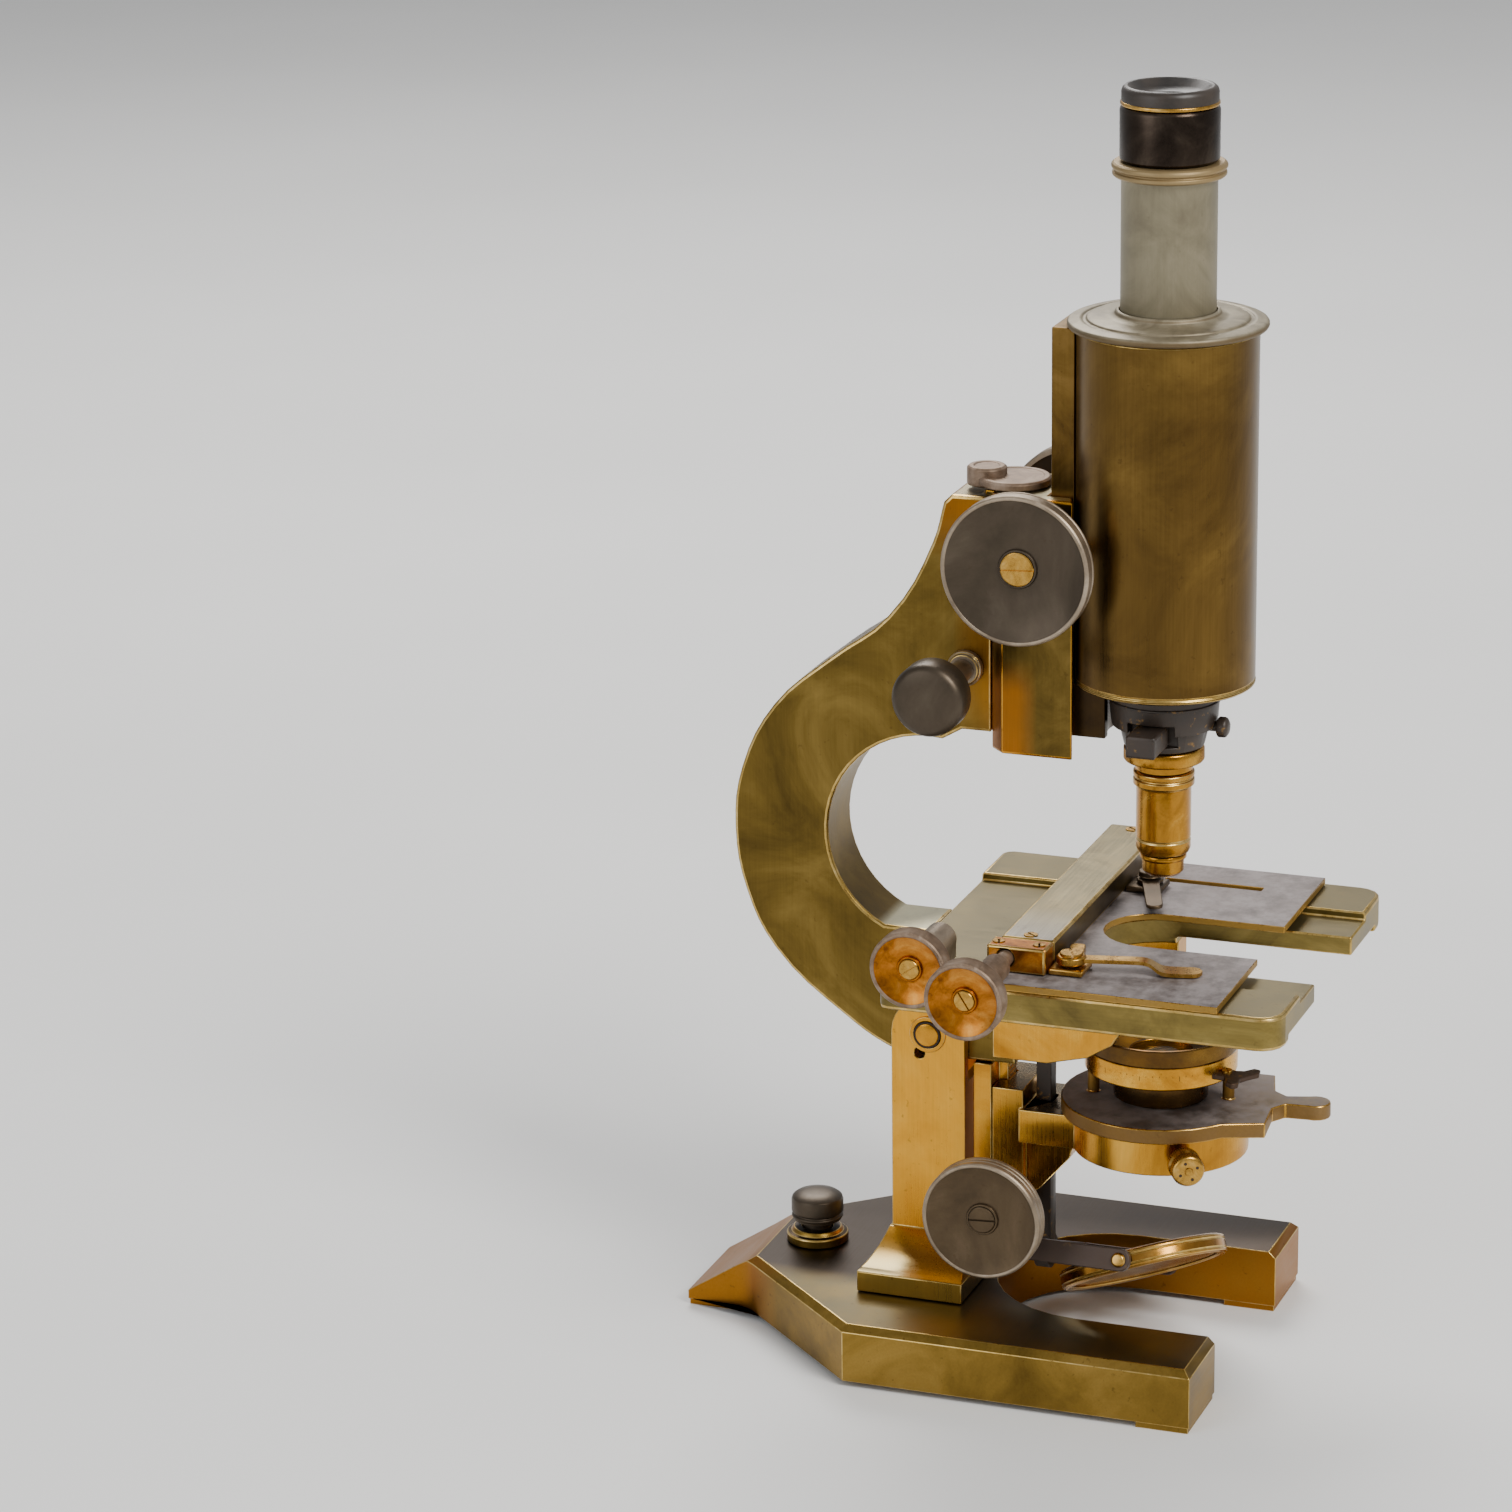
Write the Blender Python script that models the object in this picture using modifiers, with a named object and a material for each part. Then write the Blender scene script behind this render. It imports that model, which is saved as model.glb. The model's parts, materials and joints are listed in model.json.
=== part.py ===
"""Brass compound microscope with a horseshoe foot, a jug-handle limb and a mechanical stage.

Lengths are written in millimetres and turned into metres by MM. Positions are measured from
the optical axis: +X is the far side, -Y the front where the stage opens, +Z up from the table.
"""
import math

import bmesh
import bpy
from mathutils import Matrix, Vector

MM = 0.001
GAP = 0.3  # clearance between touching pieces

# Foot
FOOT_HALF_WIDTH = 58.0
FOOT_FRONT = -25.8
FOOT_KINK = 76.0
FOOT_TOP = 18.7
FOOT_PAD = 1.8
TOE_HALF_WIDTH = 17.0
TOE_REAR = 138.5
TOE_SLOPE_START = 116.5
PRONG_INNER = 32.0
ARCH_CENTRE = 15.0

# Pillar and inclination joint
PILLAR_HALF = 14.0
PILLAR_FRONT = 54.0
PILLAR_REAR = 76.0
HINGE_Y = 65.0
HINGE_Z = 92.0
PIN_RADIUS = 4.0
SPANNER_HOLE = (-12.5, 67.5, 86.0)

# Limb, stage and focusing slides
LIMB_HALF = 10.0
LIMB_TOP = 250.2
HANDLE_RADIUS = 30.2
HANDLE_CENTRE = (66.0, 149.2)
STAGE_TOP = 124.7
STAGE_BOTTOM = 115.0
STAGE_HALF = 57.5
STAGE_FRONT = -49.5
STAGE_REAR = 65.0
STAGE_OPENING = 20.0
CARRIER_BOTTOM = 178.0
CARRIER_TOP = 252.0
CARRIER_FRONT = 22.3
CARRIER_REAR = 47.0
FINE_AXIS = (54.5, 201.0)
COARSE_AXIS = (33.6, 236.0)
COARSE_KNOB_RADIUS = 21.2

# Optical tube
TUBE_RADIUS = 25.0
TUBE_BOTTOM = 199.3
TUBE_TOP = 299.3
DRAW_RADIUS = 13.1
DRAW_TOP = 345.3
EYEPIECE_TOP = 365.9
SLIDE_HALF = 9.0
SLIDE_REAR = 30.3

# Mechanical stage
PLATE_BOTTOM = STAGE_TOP + GAP
PLATE_TOP = 126.9
BAR_TOP = 134.6
X_KNOB_AXIS = (30.2, 131.2)
Y_KNOB_AXIS = (53.0, 130.4)
SMALL_KNOB_RADIUS = 11.0
NEAR_CLIP = (-43.5, 13.2)
FAR_CLIP = (30.0, 12.5)

# Substage and mirror
RAIL_FRONT = 47.0
RAIL_REAR = 52.3
RACK_FRONT = 44.2
BLOCK_FRONT = 37.5
RING_RADIUS = 25.0
RING_BOTTOM = 61.6
RING_TOP = 72.0
IRIS_RADIUS = 28.3
IRIS_TOP = 76.7
HANDLE_TURN = math.radians(11.0)
CLAMP_TURN = math.radians(29.0)
SUBSTAGE_AXIS = (40.5, 48.3)
MIRROR_CENTRE = (0.0, 4.7, 24.5)
MIRROR_RADIUS = 24.3
MIRROR_BAR = (31.8, 36.2)
FORK_ROLL = math.radians(23.0)
MIRROR_TILT = math.radians(-21.0)

# The origin is the middle of the outer box at table level
X_KNOB_FACE = -87.5
BAR_END = 62.0
AXIS_X = -(X_KNOB_FACE + BAR_END) / 2
AXIS_Y = -(TOE_REAR + STAGE_FRONT) / 2

BRASS = (0.62, 0.44, 0.17, 1.0)
OLIVE = (0.33, 0.29, 0.15, 1.0)
GREY_BROWN = (0.27, 0.23, 0.19, 1.0)
COPPER = (0.55, 0.32, 0.14, 1.0)
BLACK = (0.03, 0.025, 0.025, 1.0)
PLATE_GREY = (0.16, 0.15, 0.15, 1.0)
NICKEL = (0.45, 0.43, 0.38, 1.0)
GLASS = (0.75, 0.80, 0.80, 1.0)

FACE_TURNS = {
    "XY": (0.0, 0.0, 0.0),
    "YZ": (math.pi / 2, 0.0, math.pi / 2),
}
AXIS_TURNS = {
    "Z": (0.0, 0.0, 0.0),
    "far": (0.0, math.pi / 2, 0.0),
    "near": (0.0, -math.pi / 2, 0.0),
    "front": (math.pi / 2, 0.0, 0.0),
}


def at(x, y, z):
    """A place in metres from millimetres about the optical axis."""
    return Vector((AXIS_X + x, AXIS_Y + y, z)) * MM


def start_scene():
    for old in list(bpy.data.objects):
        bpy.data.objects.remove(old, do_unlink=True)
    parts = bpy.data.collections.new("microscope")
    tools = bpy.data.collections.new("cutters")
    for collection in (parts, tools):
        bpy.context.scene.collection.children.link(collection)
    return parts, tools


PARTS, TOOLS = start_scene()


def paint(obj, colour, metallic, roughness):
    surface = bpy.data.materials.new(obj.name)
    surface.use_nodes = True
    shader = surface.node_tree.nodes["Principled BSDF"]
    shader.inputs["Base Color"].default_value = colour
    shader.inputs["Metallic"].default_value = metallic
    shader.inputs["Roughness"].default_value = roughness
    obj.data.materials.clear()
    obj.data.materials.append(surface)


def move_to(obj, collection):
    for old in list(obj.users_collection):
        old.objects.unlink(obj)
    collection.objects.link(obj)


def node(obj, name, colour, metallic=1.0, roughness=0.4, rides=None):
    """Name a finished sub-part, paint it and hang it on its joint's empty."""
    obj.name = name
    obj.data.name = name
    move_to(obj, PARTS)
    paint(obj, colour, metallic, roughness)
    if obj.type == "MESH":
        obj.data.shade_smooth()
        obj.data.set_sharp_from_angle(angle=math.radians(35.0))
    ride(obj, rides)
    return obj


def ride(obj, parent):
    """Parent an object without moving it."""
    if parent is None:
        return
    bpy.context.view_layer.update()
    obj.parent = parent
    obj.matrix_parent_inverse = parent.matrix_world.inverted()


def joint(name, place, parent=None):
    """An empty that stands on a joint's axis."""
    empty = bpy.data.objects.new(name, None)
    empty.empty_display_size = 0.01
    empty.location = at(*place)
    PARTS.objects.link(empty)
    ride(empty, parent)
    return empty


def tool(obj):
    """Mark a shape as a cutter or a joined lump, which the build leaves out."""
    move_to(obj, TOOLS)
    obj.hide_render = True
    obj.display_type = "WIRE"
    return obj


def boolean(obj, other, operation):
    step = obj.modifiers.new(operation.lower(), "BOOLEAN")
    step.operation = operation
    step.solver = "EXACT"
    step.object = tool(other)
    return obj


def cut(obj, *others):
    for other in others:
        boolean(obj, other, "DIFFERENCE")
    return obj


def join(obj, *others):
    for other in others:
        boolean(obj, other, "UNION")
    return obj


def soften(obj, width, angle=40.0):
    """Small chamfers on the edges that are sharper than the angle."""
    step = obj.modifiers.new("soften", "BEVEL")
    step.width = width * MM
    step.segments = 1
    step.limit_method = "ANGLE"
    step.angle_limit = math.radians(angle)
    return obj


def box(x, y, z):
    """A block between two values on each axis."""
    bpy.ops.mesh.primitive_cube_add(size=1.0)
    obj = bpy.context.object
    size = [abs(side[1] - side[0]) * MM for side in (x, y, z)]
    obj.data.transform(Matrix.Diagonal((*size, 1.0)))
    obj.location = at(*(sum(side) / 2 for side in (x, y, z)))
    return obj


def rod(radius, length, centre, axis="Z", sides=32):
    bpy.ops.mesh.primitive_cylinder_add(vertices=sides, radius=radius * MM, depth=length * MM)
    obj = bpy.context.object
    obj.location = at(*centre)
    obj.rotation_euler = AXIS_TURNS[axis]
    return obj


def turned(profile, centre, axis="Z", sides=32, ring=False):
    """Turn (radius, height) points, listed down the outer side, about an axis."""
    mesh = bpy.data.meshes.new("turned")
    bm = bmesh.new()
    verts = [bm.verts.new((radius * MM, 0.0, height * MM)) for radius, height in profile]
    pairs = list(zip(verts, verts[1:]))
    if ring:
        pairs.append((verts[-1], verts[0]))
    for pair in pairs:
        bm.edges.new(pair)
    bm.to_mesh(mesh)
    bm.free()
    obj = bpy.data.objects.new("turned", mesh)
    PARTS.objects.link(obj)
    obj.location = at(*centre)
    obj.rotation_euler = AXIS_TURNS[axis]
    spin = obj.modifiers.new("turn", "SCREW")
    spin.steps = sides
    spin.render_steps = sides
    spin.use_merge_vertices = True
    spin.merge_threshold = 0.00001
    return obj


def arc(centre, radius, start, end, steps):
    """Points along an arc, with angles in degrees."""
    angles = [math.radians(start + (end - start) * i / steps) for i in range(steps + 1)]
    return [(centre[0] + radius * math.cos(a), centre[1] + radius * math.sin(a)) for a in angles]


def fillet(before, corner, after, radius, steps=4):
    """Replace a corner of an outline with a tangent arc."""
    here = Vector(corner)
    first = (Vector(before) - here).normalized()
    second = (Vector(after) - here).normalized()
    half = first.angle(second) / 2
    reach = radius / math.tan(half)
    centre = here + (first + second).normalized() * (radius / math.sin(half))
    start = (here + first * reach - centre).normalized()
    end = (here + second * reach - centre).normalized()
    points = [centre + start.slerp(end, i / steps) * radius for i in range(steps + 1)]
    return [tuple(point) for point in points]


def plate(outline, thickness, middle, facing="XY", smooth=False, resolution=5):
    """A flat outline given thickness. The outline is in (x, y) or, facing YZ, in (y, z)."""
    curve = bpy.data.curves.new("plate", "CURVE")
    curve.dimensions = "2D"
    curve.fill_mode = "BOTH"
    curve.extrude = thickness * MM / 2
    curve.resolution_u = resolution
    spline = curve.splines.new("BEZIER" if smooth else "POLY")
    if smooth:
        spline.bezier_points.add(len(outline) - 1)
        for point, place in zip(spline.bezier_points, outline):
            soft = len(place) > 2
            point.co = (place[0] * MM, place[1] * MM, 0.0)
            point.handle_left_type = "AUTO" if soft else "VECTOR"
            point.handle_right_type = point.handle_left_type
    else:
        spline.points.add(len(outline) - 1)
        for point, place in zip(spline.points, outline):
            point.co = (place[0] * MM, place[1] * MM, 0.0, 1.0)
    spline.use_cyclic_u = True
    obj = bpy.data.objects.new("plate", curve)
    PARTS.objects.link(obj)
    obj.location = at(0, 0, middle) if facing == "XY" else at(middle, 0, 0)
    obj.rotation_euler = FACE_TURNS[facing]
    return solid(obj)


def solid(obj):
    """Turn a curve into a closed mesh that booleans and bevels can use."""
    bpy.context.view_layer.update()
    graph = bpy.context.evaluated_depsgraph_get()
    mesh = bpy.data.meshes.new_from_object(obj.evaluated_get(graph))
    bm = bmesh.new()
    bm.from_mesh(mesh)
    bmesh.ops.remove_doubles(bm, verts=bm.verts, dist=0.000001)
    bmesh.ops.dissolve_limit(bm, angle_limit=0.002, verts=bm.verts, edges=bm.edges)
    bmesh.ops.recalc_face_normals(bm, faces=bm.faces)
    bm.to_mesh(mesh)
    bm.free()
    made = bpy.data.objects.new(obj.name, mesh)
    PARTS.objects.link(made)
    made.matrix_world = obj.matrix_world
    bpy.data.objects.remove(obj, do_unlink=True)
    return made


def foot_outline():
    diagonal_end = (TOE_HALF_WIDTH, 120.3)
    corner = fillet((FOOT_HALF_WIDTH, FOOT_KINK), diagonal_end, (TOE_HALF_WIDTH, TOE_REAR), 12.0)
    right = [(PRONG_INNER, FOOT_FRONT), (FOOT_HALF_WIDTH, FOOT_FRONT), (FOOT_HALF_WIDTH, FOOT_KINK)]
    right += corner + [(TOE_HALF_WIDTH, TOE_REAR)]
    left = [(-x, y) for x, y in reversed(right)]
    arch = arc((0.0, ARCH_CENTRE), PRONG_INNER, 180.0, 0.0, 14)
    return right + left + arch


def chamfer_outer_top(obj, width):
    """Chamfer the top edges that face outwards, and leave the horseshoe's inner edge sharp."""
    bm = bmesh.new()
    bm.from_mesh(obj.data)
    top = max(vert.co.z for vert in bm.verts)
    edges = []
    for edge in bm.edges:
        middle = (edge.verts[0].co + edge.verts[1].co) / 2
        outer = abs(middle.x) > (FOOT_HALF_WIDTH - 0.1) * MM or middle.y > (FOOT_KINK - 0.1) * MM
        tip = middle.y < (FOOT_FRONT + 0.1) * MM
        if middle.z > top - 0.01 * MM and len(edge.link_faces) == 2 and (outer or tip):
            if any(abs(face.normal.z) < 0.5 for face in edge.link_faces):
                edges.append(edge)
    bmesh.ops.bevel(bm, geom=edges, offset=width * MM, segments=1, profile=0.5, affect="EDGES")
    bm.to_mesh(obj.data)
    bm.free()
    return obj


def make_foot():
    body = plate(foot_outline(), FOOT_TOP - FOOT_PAD, (FOOT_TOP + FOOT_PAD) / 2)
    chamfer_outer_top(body, 2.0)
    slope = [(TOE_SLOPE_START, FOOT_TOP), (142.0, 2.2), (142.0, 30.0), (TOE_SLOPE_START, 30.0)]
    cut(body, plate(slope, 60.0, 0.0, "YZ"))
    pad_height = (0.0, FOOT_PAD + 1.0)
    for side in (-1, 1):
        span = (side * (PRONG_INNER + 0.4), side * (FOOT_HALF_WIDTH - 0.4))
        join(body, box(span, (FOOT_FRONT + 0.4, FOOT_FRONT + 15.5), pad_height))
    toe = (-TOE_HALF_WIDTH + 0.4, TOE_HALF_WIDTH - 0.4)
    join(body, box(toe, (TOE_REAR - 14.0, TOE_REAR - 0.4), pad_height))
    node(body, "foot", BRASS, 1.0, 0.45)


def flare():
    """The plinth and its hollow curve up to the pillar, as a loft between rectangles."""
    bottom, shelf, top = FOOT_TOP + GAP, 25.0, 32.2
    wide = (33.7, (48.6, 80.0))
    narrow = (PILLAR_HALF + 0.6, (PILLAR_FRONT - 0.6, PILLAR_REAR + 0.6))
    steps = 6
    levels = [(bottom, 0.0), (shelf, 0.0)]
    levels += [(shelf + (top - shelf) * (i / steps) ** 1.8, i / steps) for i in range(1, steps + 1)]
    bm = bmesh.new()
    rings = []
    for height, share in levels:
        half = wide[0] + (narrow[0] - wide[0]) * share
        front, rear = (wide[1][k] + (narrow[1][k] - wide[1][k]) * share for k in (0, 1))
        corners = [(-half, front), (half, front), (half, rear), (-half, rear)]
        rings.append([bm.verts.new((x * MM, y * MM, height * MM)) for x, y in corners])
    bm.faces.new(reversed(rings[0]))
    bm.faces.new(rings[-1])
    for low, high in zip(rings, rings[1:]):
        for k in range(4):
            bm.faces.new((low[k], low[(k + 1) % 4], high[(k + 1) % 4], high[k]))
    mesh = bpy.data.meshes.new("flare")
    bm.to_mesh(mesh)
    bm.free()
    obj = bpy.data.objects.new("flare", mesh)
    PARTS.objects.link(obj)
    obj.location = at(0, 0, 0)
    return obj


def make_pillar():
    """A rectangular post whose two cheeks take the limb between them."""
    cap = arc((HINGE_Y, HINGE_Z), PILLAR_REAR - HINGE_Y, 0.0, 180.0, 14)
    post = plate([(PILLAR_FRONT, 30.0), (PILLAR_REAR, 30.0)] + cap, 2 * PILLAR_HALF, 0.0, "YZ")
    join(post, flare())
    slot = [(50.0, 79.0), (57.5, 77.0), (78.0, 46.5), (78.0, 110.0), (50.0, 110.0)]
    cut(post, plate(slot, 2 * (LIMB_HALF + GAP), 0.0, "YZ"))
    cut(post, rod(PIN_RADIUS + GAP, 40.0, (0, HINGE_Y, HINGE_Z), "far"))
    cut(post, rod(1.6, 7.0, SPANNER_HOLE, "far", 16))
    node(post, "pillar", BRASS, 1.0, 0.3)


def make_pin():
    half = PILLAR_HALF + 0.6
    profile = [(0, half), (3.4, half), (PIN_RADIUS, half - 0.6), (PIN_RADIUS, 0.6 - half)]
    profile += [(3.4, -half), (0, -half)]
    pin = turned(profile, (0, HINGE_Y, HINGE_Z), "near", 24)
    node(pin, "inclination_pin", BRASS, 1.0, 0.35)


def make_toe_stop(slide):
    base = FOOT_TOP + GAP
    collar = [(9.0, base + 2.6), (9.0, base), (4.6, base), (4.6, base + 4.0), (7.0, base + 4.0)]
    collar = turned(collar, (0, 104, 0), "Z", 28, ring=True)
    node(collar, "toe_stop_collar", BRASS, 1.0, 0.4)
    low = base + 4.0 + 2.3
    profile = [(0, 33.8), (6.6, 33.4), (7.6, 32.2), (7.6, low), (4.2, low), (4.2, base + 2.3)]
    stop = turned(profile + [(0, base + 2.3)], (0, 104, 0), "Z", 28)
    node(stop, "toe_stop_screw", GREY_BROWN, 1.0, 0.5, slide)


def limb_outline():
    outer = [(64.5, 236.0, 1), (77.7, 213.5, 1), (94.7, 200.1, 1), (112.0, 184.5, 1)]
    outer += [(122.0, 165.0, 1), (124.3, 147.0, 1), (121.0, 128.0, 1), (112.6, 111.7, 1)]
    outer += [(91.4, 93.3, 1), (78.5, 85.5, 1)]
    heel = arc((HINGE_Y, HINGE_Z), 10.7, -55.0, -125.0, 6)
    under_stage = STAGE_BOTTOM - GAP
    front = [(56.0, 84.2), (40.0, 84.2), (40.0, under_stage), (STAGE_REAR + GAP, under_stage)]
    front += [(STAGE_REAR + GAP, 122.0)]
    handle = arc(HANDLE_CENTRE, HANDLE_RADIUS, -64.0, 98.0, 22)
    head = [(56.0, 182.5), (47.3, 182.5), (47.3, LIMB_TOP), (58.8, LIMB_TOP), (61.2, LIMB_TOP - 2.4)]
    return head + outer + heel + front + handle


def make_limb(rides):
    limb = plate(limb_outline(), 2 * LIMB_HALF, 0.0, "YZ", smooth=True, resolution=4)
    soften(limb, 0.5)
    cut(limb, rod(PIN_RADIUS + GAP, 40.0, (0, HINGE_Y, HINGE_Z), "far"))
    cut(limb, rod(2.8, 40.0, (0, *FINE_AXIS), "far", 20))
    cut(limb, box((-5.4, 5.4), (40.0, 51.0), (178.0, 260.0)))
    node(limb, "limb", OLIVE, 1.0, 0.45, rides)


def make_stage_bracket(rides):
    """The forked seat under the stage that clears the condenser."""
    under = [(39.7, 94.5), (24.0, 94.5), (12.0, 97.5), (5.0, 102.0), (2.0, 107.0)]
    top = STAGE_BOTTOM - GAP
    seat = plate(under + [(2.0, top), (39.7, top)], 64.0, 0.0, "YZ")
    cut(seat, rod(23.6, 60.0, (0, 0, 100.0), "Z", 40))
    node(seat, "stage_bracket", BRASS, 1.0, 0.3, rides)


def open_front(half, rear, front, centre=0.0):
    """The outline of a slot that is open at the front and round at the back."""
    back = arc((centre, rear - half), half, 0.0, 180.0, 12)
    return back + [(centre - half, front), (centre + half, front)]


def rounded_stage():
    front = fillet((0, STAGE_FRONT), (STAGE_HALF, STAGE_FRONT), (STAGE_HALF, 0), 7.0)
    rear = fillet((STAGE_HALF, 0), (STAGE_HALF, STAGE_REAR), (0, STAGE_REAR), 3.0, 2)
    right = front + rear
    return right + [(-x, y) for x, y in reversed(right)]


def make_stage(rides):
    stage = plate(rounded_stage(), STAGE_TOP - STAGE_BOTTOM, (STAGE_TOP + STAGE_BOTTOM) / 2)
    soften(stage, 0.6)
    cut(stage, plate(open_front(STAGE_OPENING, 20.0, -60.0), 30.0, 120.0))
    channel = (122.4, STAGE_TOP + 5.0)
    cut(stage, box((-35.5, 35.5), (-60.0, 72.0), channel))
    cut(stage, box((-47.0, 47.0), (-60.0, 1.5), (110.0, 117.0)))
    node(stage, "stage", OLIVE, 1.0, 0.45, rides)


def make_stage_plate(rides):
    """The thin forked plate that slides front to back on the stage."""
    near, far, front, rear = -58.5, 55.5, -32.5, 38.0
    corners = [(near, front), (far, front), (far, rear), (near, rear)]
    thickness = PLATE_TOP - PLATE_BOTTOM
    sheet = plate(corners, thickness, (PLATE_TOP + PLATE_BOTTOM) / 2)
    cut(sheet, plate(open_front(14.0, 15.5, -50.0, -3.5), 12.0, 126.0))
    cut(sheet, box((38.5, 41.5), (-18.0, 11.0), (120.0, 130.0)))
    for side in (-1, 1):
        join(sheet, box((side * 30.0, side * 35.2), (-25.0, 33.0), (122.7, PLATE_BOTTOM + 0.8)))
    node(sheet, "stage_plate", PLATE_GREY, 0.6, 0.6, rides)


def make_cross_bar(rides):
    bar = box((-42.0, BAR_END), (18.7, 34.0), (PLATE_TOP + GAP, BAR_TOP))
    soften(bar, 0.5)
    node(bar, "cross_bar", OLIVE, 1.0, 0.4, rides)
    block = box((-50.0, -42.3), (18.7, 35.6), (PLATE_TOP + GAP, BAR_TOP))
    soften(block, 0.4)
    cut(block, rod(2.6, 30.0, (-46.0, *X_KNOB_AXIS), "far", 20))
    node(block, "x_drive_block", COPPER, 1.0, 0.5, rides)


def clip_arm(pivot, length, direction, name, rides):
    """A flat spring clip that swings about its screw."""
    half = 2.4
    eye = arc((0.0, 0.0), 3.9, 40.0, 320.0, 10)
    tip = arc((length - half, 0.0), half, -90.0, 90.0, 6)
    arm = plate(eye + tip, 1.1, 0.0)
    arm.location = at(pivot[0], pivot[1], 129.95)
    arm.rotation_euler = (0.0, 0.0, direction)
    cut(arm, rod(1.8, 6.0, (*pivot, 130.0), "Z", 16))
    node(arm, name, BRASS, 1.0, 0.35, rides)


def make_clips(rides, near_hinge, far_hinge):
    aims = ((-36.2 - NEAR_CLIP[0], -19.4 - NEAR_CLIP[1]), (-22.5, -8.0))
    sides = (("near", NEAR_CLIP, near_hinge, aims[0], 36.0), ("far", FAR_CLIP, far_hinge, aims[1], 25.0))
    for name, pivot, hinge, aim, length in sides:
        x, y = pivot
        foot = box((x - 5.0, x + 5.0), (y - 4.6, 18.4), (PLATE_TOP + GAP, 129.0))
        soften(foot, 0.4)
        cut(foot, rod(1.8, 8.0, (x, y, 128.0), "Z", 16))
        node(foot, "clip_seat_" + name, BRASS, 1.0, 0.4, rides)
        clip_arm(pivot, length, math.atan2(aim[1], aim[0]), "clip_" + name, hinge)
        profile = [(0, 132.8), (2.4, 132.6), (3.3, 131.8), (3.3, 130.9), (1.4, 130.9), (1.4, 127.4)]
        screw = turned(profile + [(0, 127.4)], (x, y, 0), "Z", 20)
        node(screw, "clip_screw_" + name, BRASS, 1.0, 0.35, rides)


def dished_knob(radius, thickness, hub, collar):
    """Profile of a milled knob with a hollow face. The face is at height 0, the body below."""
    face = [(0, -1.3), (hub, -1.3), (hub + 1.2, -2.2), (radius * 0.72, -1.2), (radius * 0.9, -0.1)]
    rim = [(radius - 0.8, 0.0), (radius, -0.7), (radius, 0.7 - thickness), (radius - 0.8, -thickness)]
    return face + rim + [(collar, -thickness)]


def make_stage_knobs(x_hinge, y_hinge, limb_rides):
    sleeve = [(3.9, -30.0), (2.3, -30.8), (2.3, -44.3), (0, -44.3)]
    knob = turned(dished_knob(SMALL_KNOB_RADIUS, 6.0, 3.4, 3.9) + sleeve, (X_KNOB_FACE, *X_KNOB_AXIS), "near", 28)
    node(knob, "stage_x_knob", COPPER, 1.0, 0.5, x_hinge)
    sleeve = [(3.6, -8.4), (2.6, -9.0), (2.6, -31.0), (0, -31.0)]
    knob = turned(dished_knob(SMALL_KNOB_RADIUS, 6.0, 3.4, 3.6) + sleeve, (-66.5, *Y_KNOB_AXIS), "near", 28)
    node(knob, "stage_y_knob", COPPER, 1.0, 0.5, y_hinge)
    base = box((-57.0, -37.0), (Y_KNOB_AXIS[0] - 4.4, Y_KNOB_AXIS[0] + 4.4), (PLATE_BOTTOM, 130.4))
    join(base, rod(4.6, 20.0, (-47.0, *Y_KNOB_AXIS), "far", 28))
    cut(base, rod(2.9, 30.0, (-47.0, *Y_KNOB_AXIS), "far", 24))
    node(base, "stage_y_bearing", GREY_BROWN, 1.0, 0.5, limb_rides)


def make_carrier(rides):
    """The fine-motion block that carries the body tube's slide."""
    rear = [(14.3, 42.7), (LIMB_HALF, CARRIER_REAR), (-LIMB_HALF, CARRIER_REAR), (-14.3, 42.7)]
    slot = SLIDE_HALF + 0.4
    lip = CARRIER_FRONT + 1.7
    front = [(-14.3, CARRIER_FRONT), (-slot, lip), (-slot, SLIDE_REAR + GAP)]
    front += [(slot, SLIDE_REAR + GAP), (slot, lip), (14.3, CARRIER_FRONT)]
    height = CARRIER_TOP - CARRIER_BOTTOM
    block = plate(rear + front, height, (CARRIER_TOP + CARRIER_BOTTOM) / 2)
    soften(block, 0.4, 60.0)
    join(block, box((-5.0, 5.0), (CARRIER_REAR - 2.0, 50.6), (CARRIER_BOTTOM + 6.0, CARRIER_TOP - 1.0)))
    cut(block, rod(3.3, 50.0, (0, *COARSE_AXIS), "far", 24))
    node(block, "fine_carrier", OLIVE, 1.0, 0.4, rides)
    cap = [(0, 254.6), (9.6, 254.6), (10.3, 254.0), (10.3, CARRIER_TOP + GAP), (0, CARRIER_TOP + GAP)]
    node(turned(cap, (0, 43.6, 0), "Z", 32), "carrier_cap_large", GREY_BROWN, 1.0, 0.45, rides)
    cap = [(0, 256.9), (5.0, 256.9), (5.6, 256.3), (5.6, LIMB_TOP + 1.3), (0, LIMB_TOP + 1.3)]
    small = turned(cap, (0, 51.7, 0), "Z", 28)
    cut(small, rod(10.6, 20.0, (0, 43.6, 244.9)))
    node(small, "carrier_cap_small", GREY_BROWN, 1.0, 0.45, rides)


def make_coarse_drive(hinge):
    """One pinion shaft through the carrier with a large knob on each end."""
    half = 25.7
    shaft = rod(2.9, 2 * half, (0, *COARSE_AXIS), "far", 24)
    node(shaft, "coarse_pinion", BRASS, 1.0, 0.4, hinge)
    hub = [(5.5, -6.0), (0, -6.0)]
    for side, axis in ((-1, "near"), (1, "far")):
        profile = dished_knob(COARSE_KNOB_RADIUS, 6.0, 4.6, 5.5)[:-1] + hub
        knob = turned(profile, (side * (half + GAP + 6.0), *COARSE_AXIS), axis, 32)
        node(knob, "coarse_knob_" + axis, GREY_BROWN, 1.0, 0.5, hinge)


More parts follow.
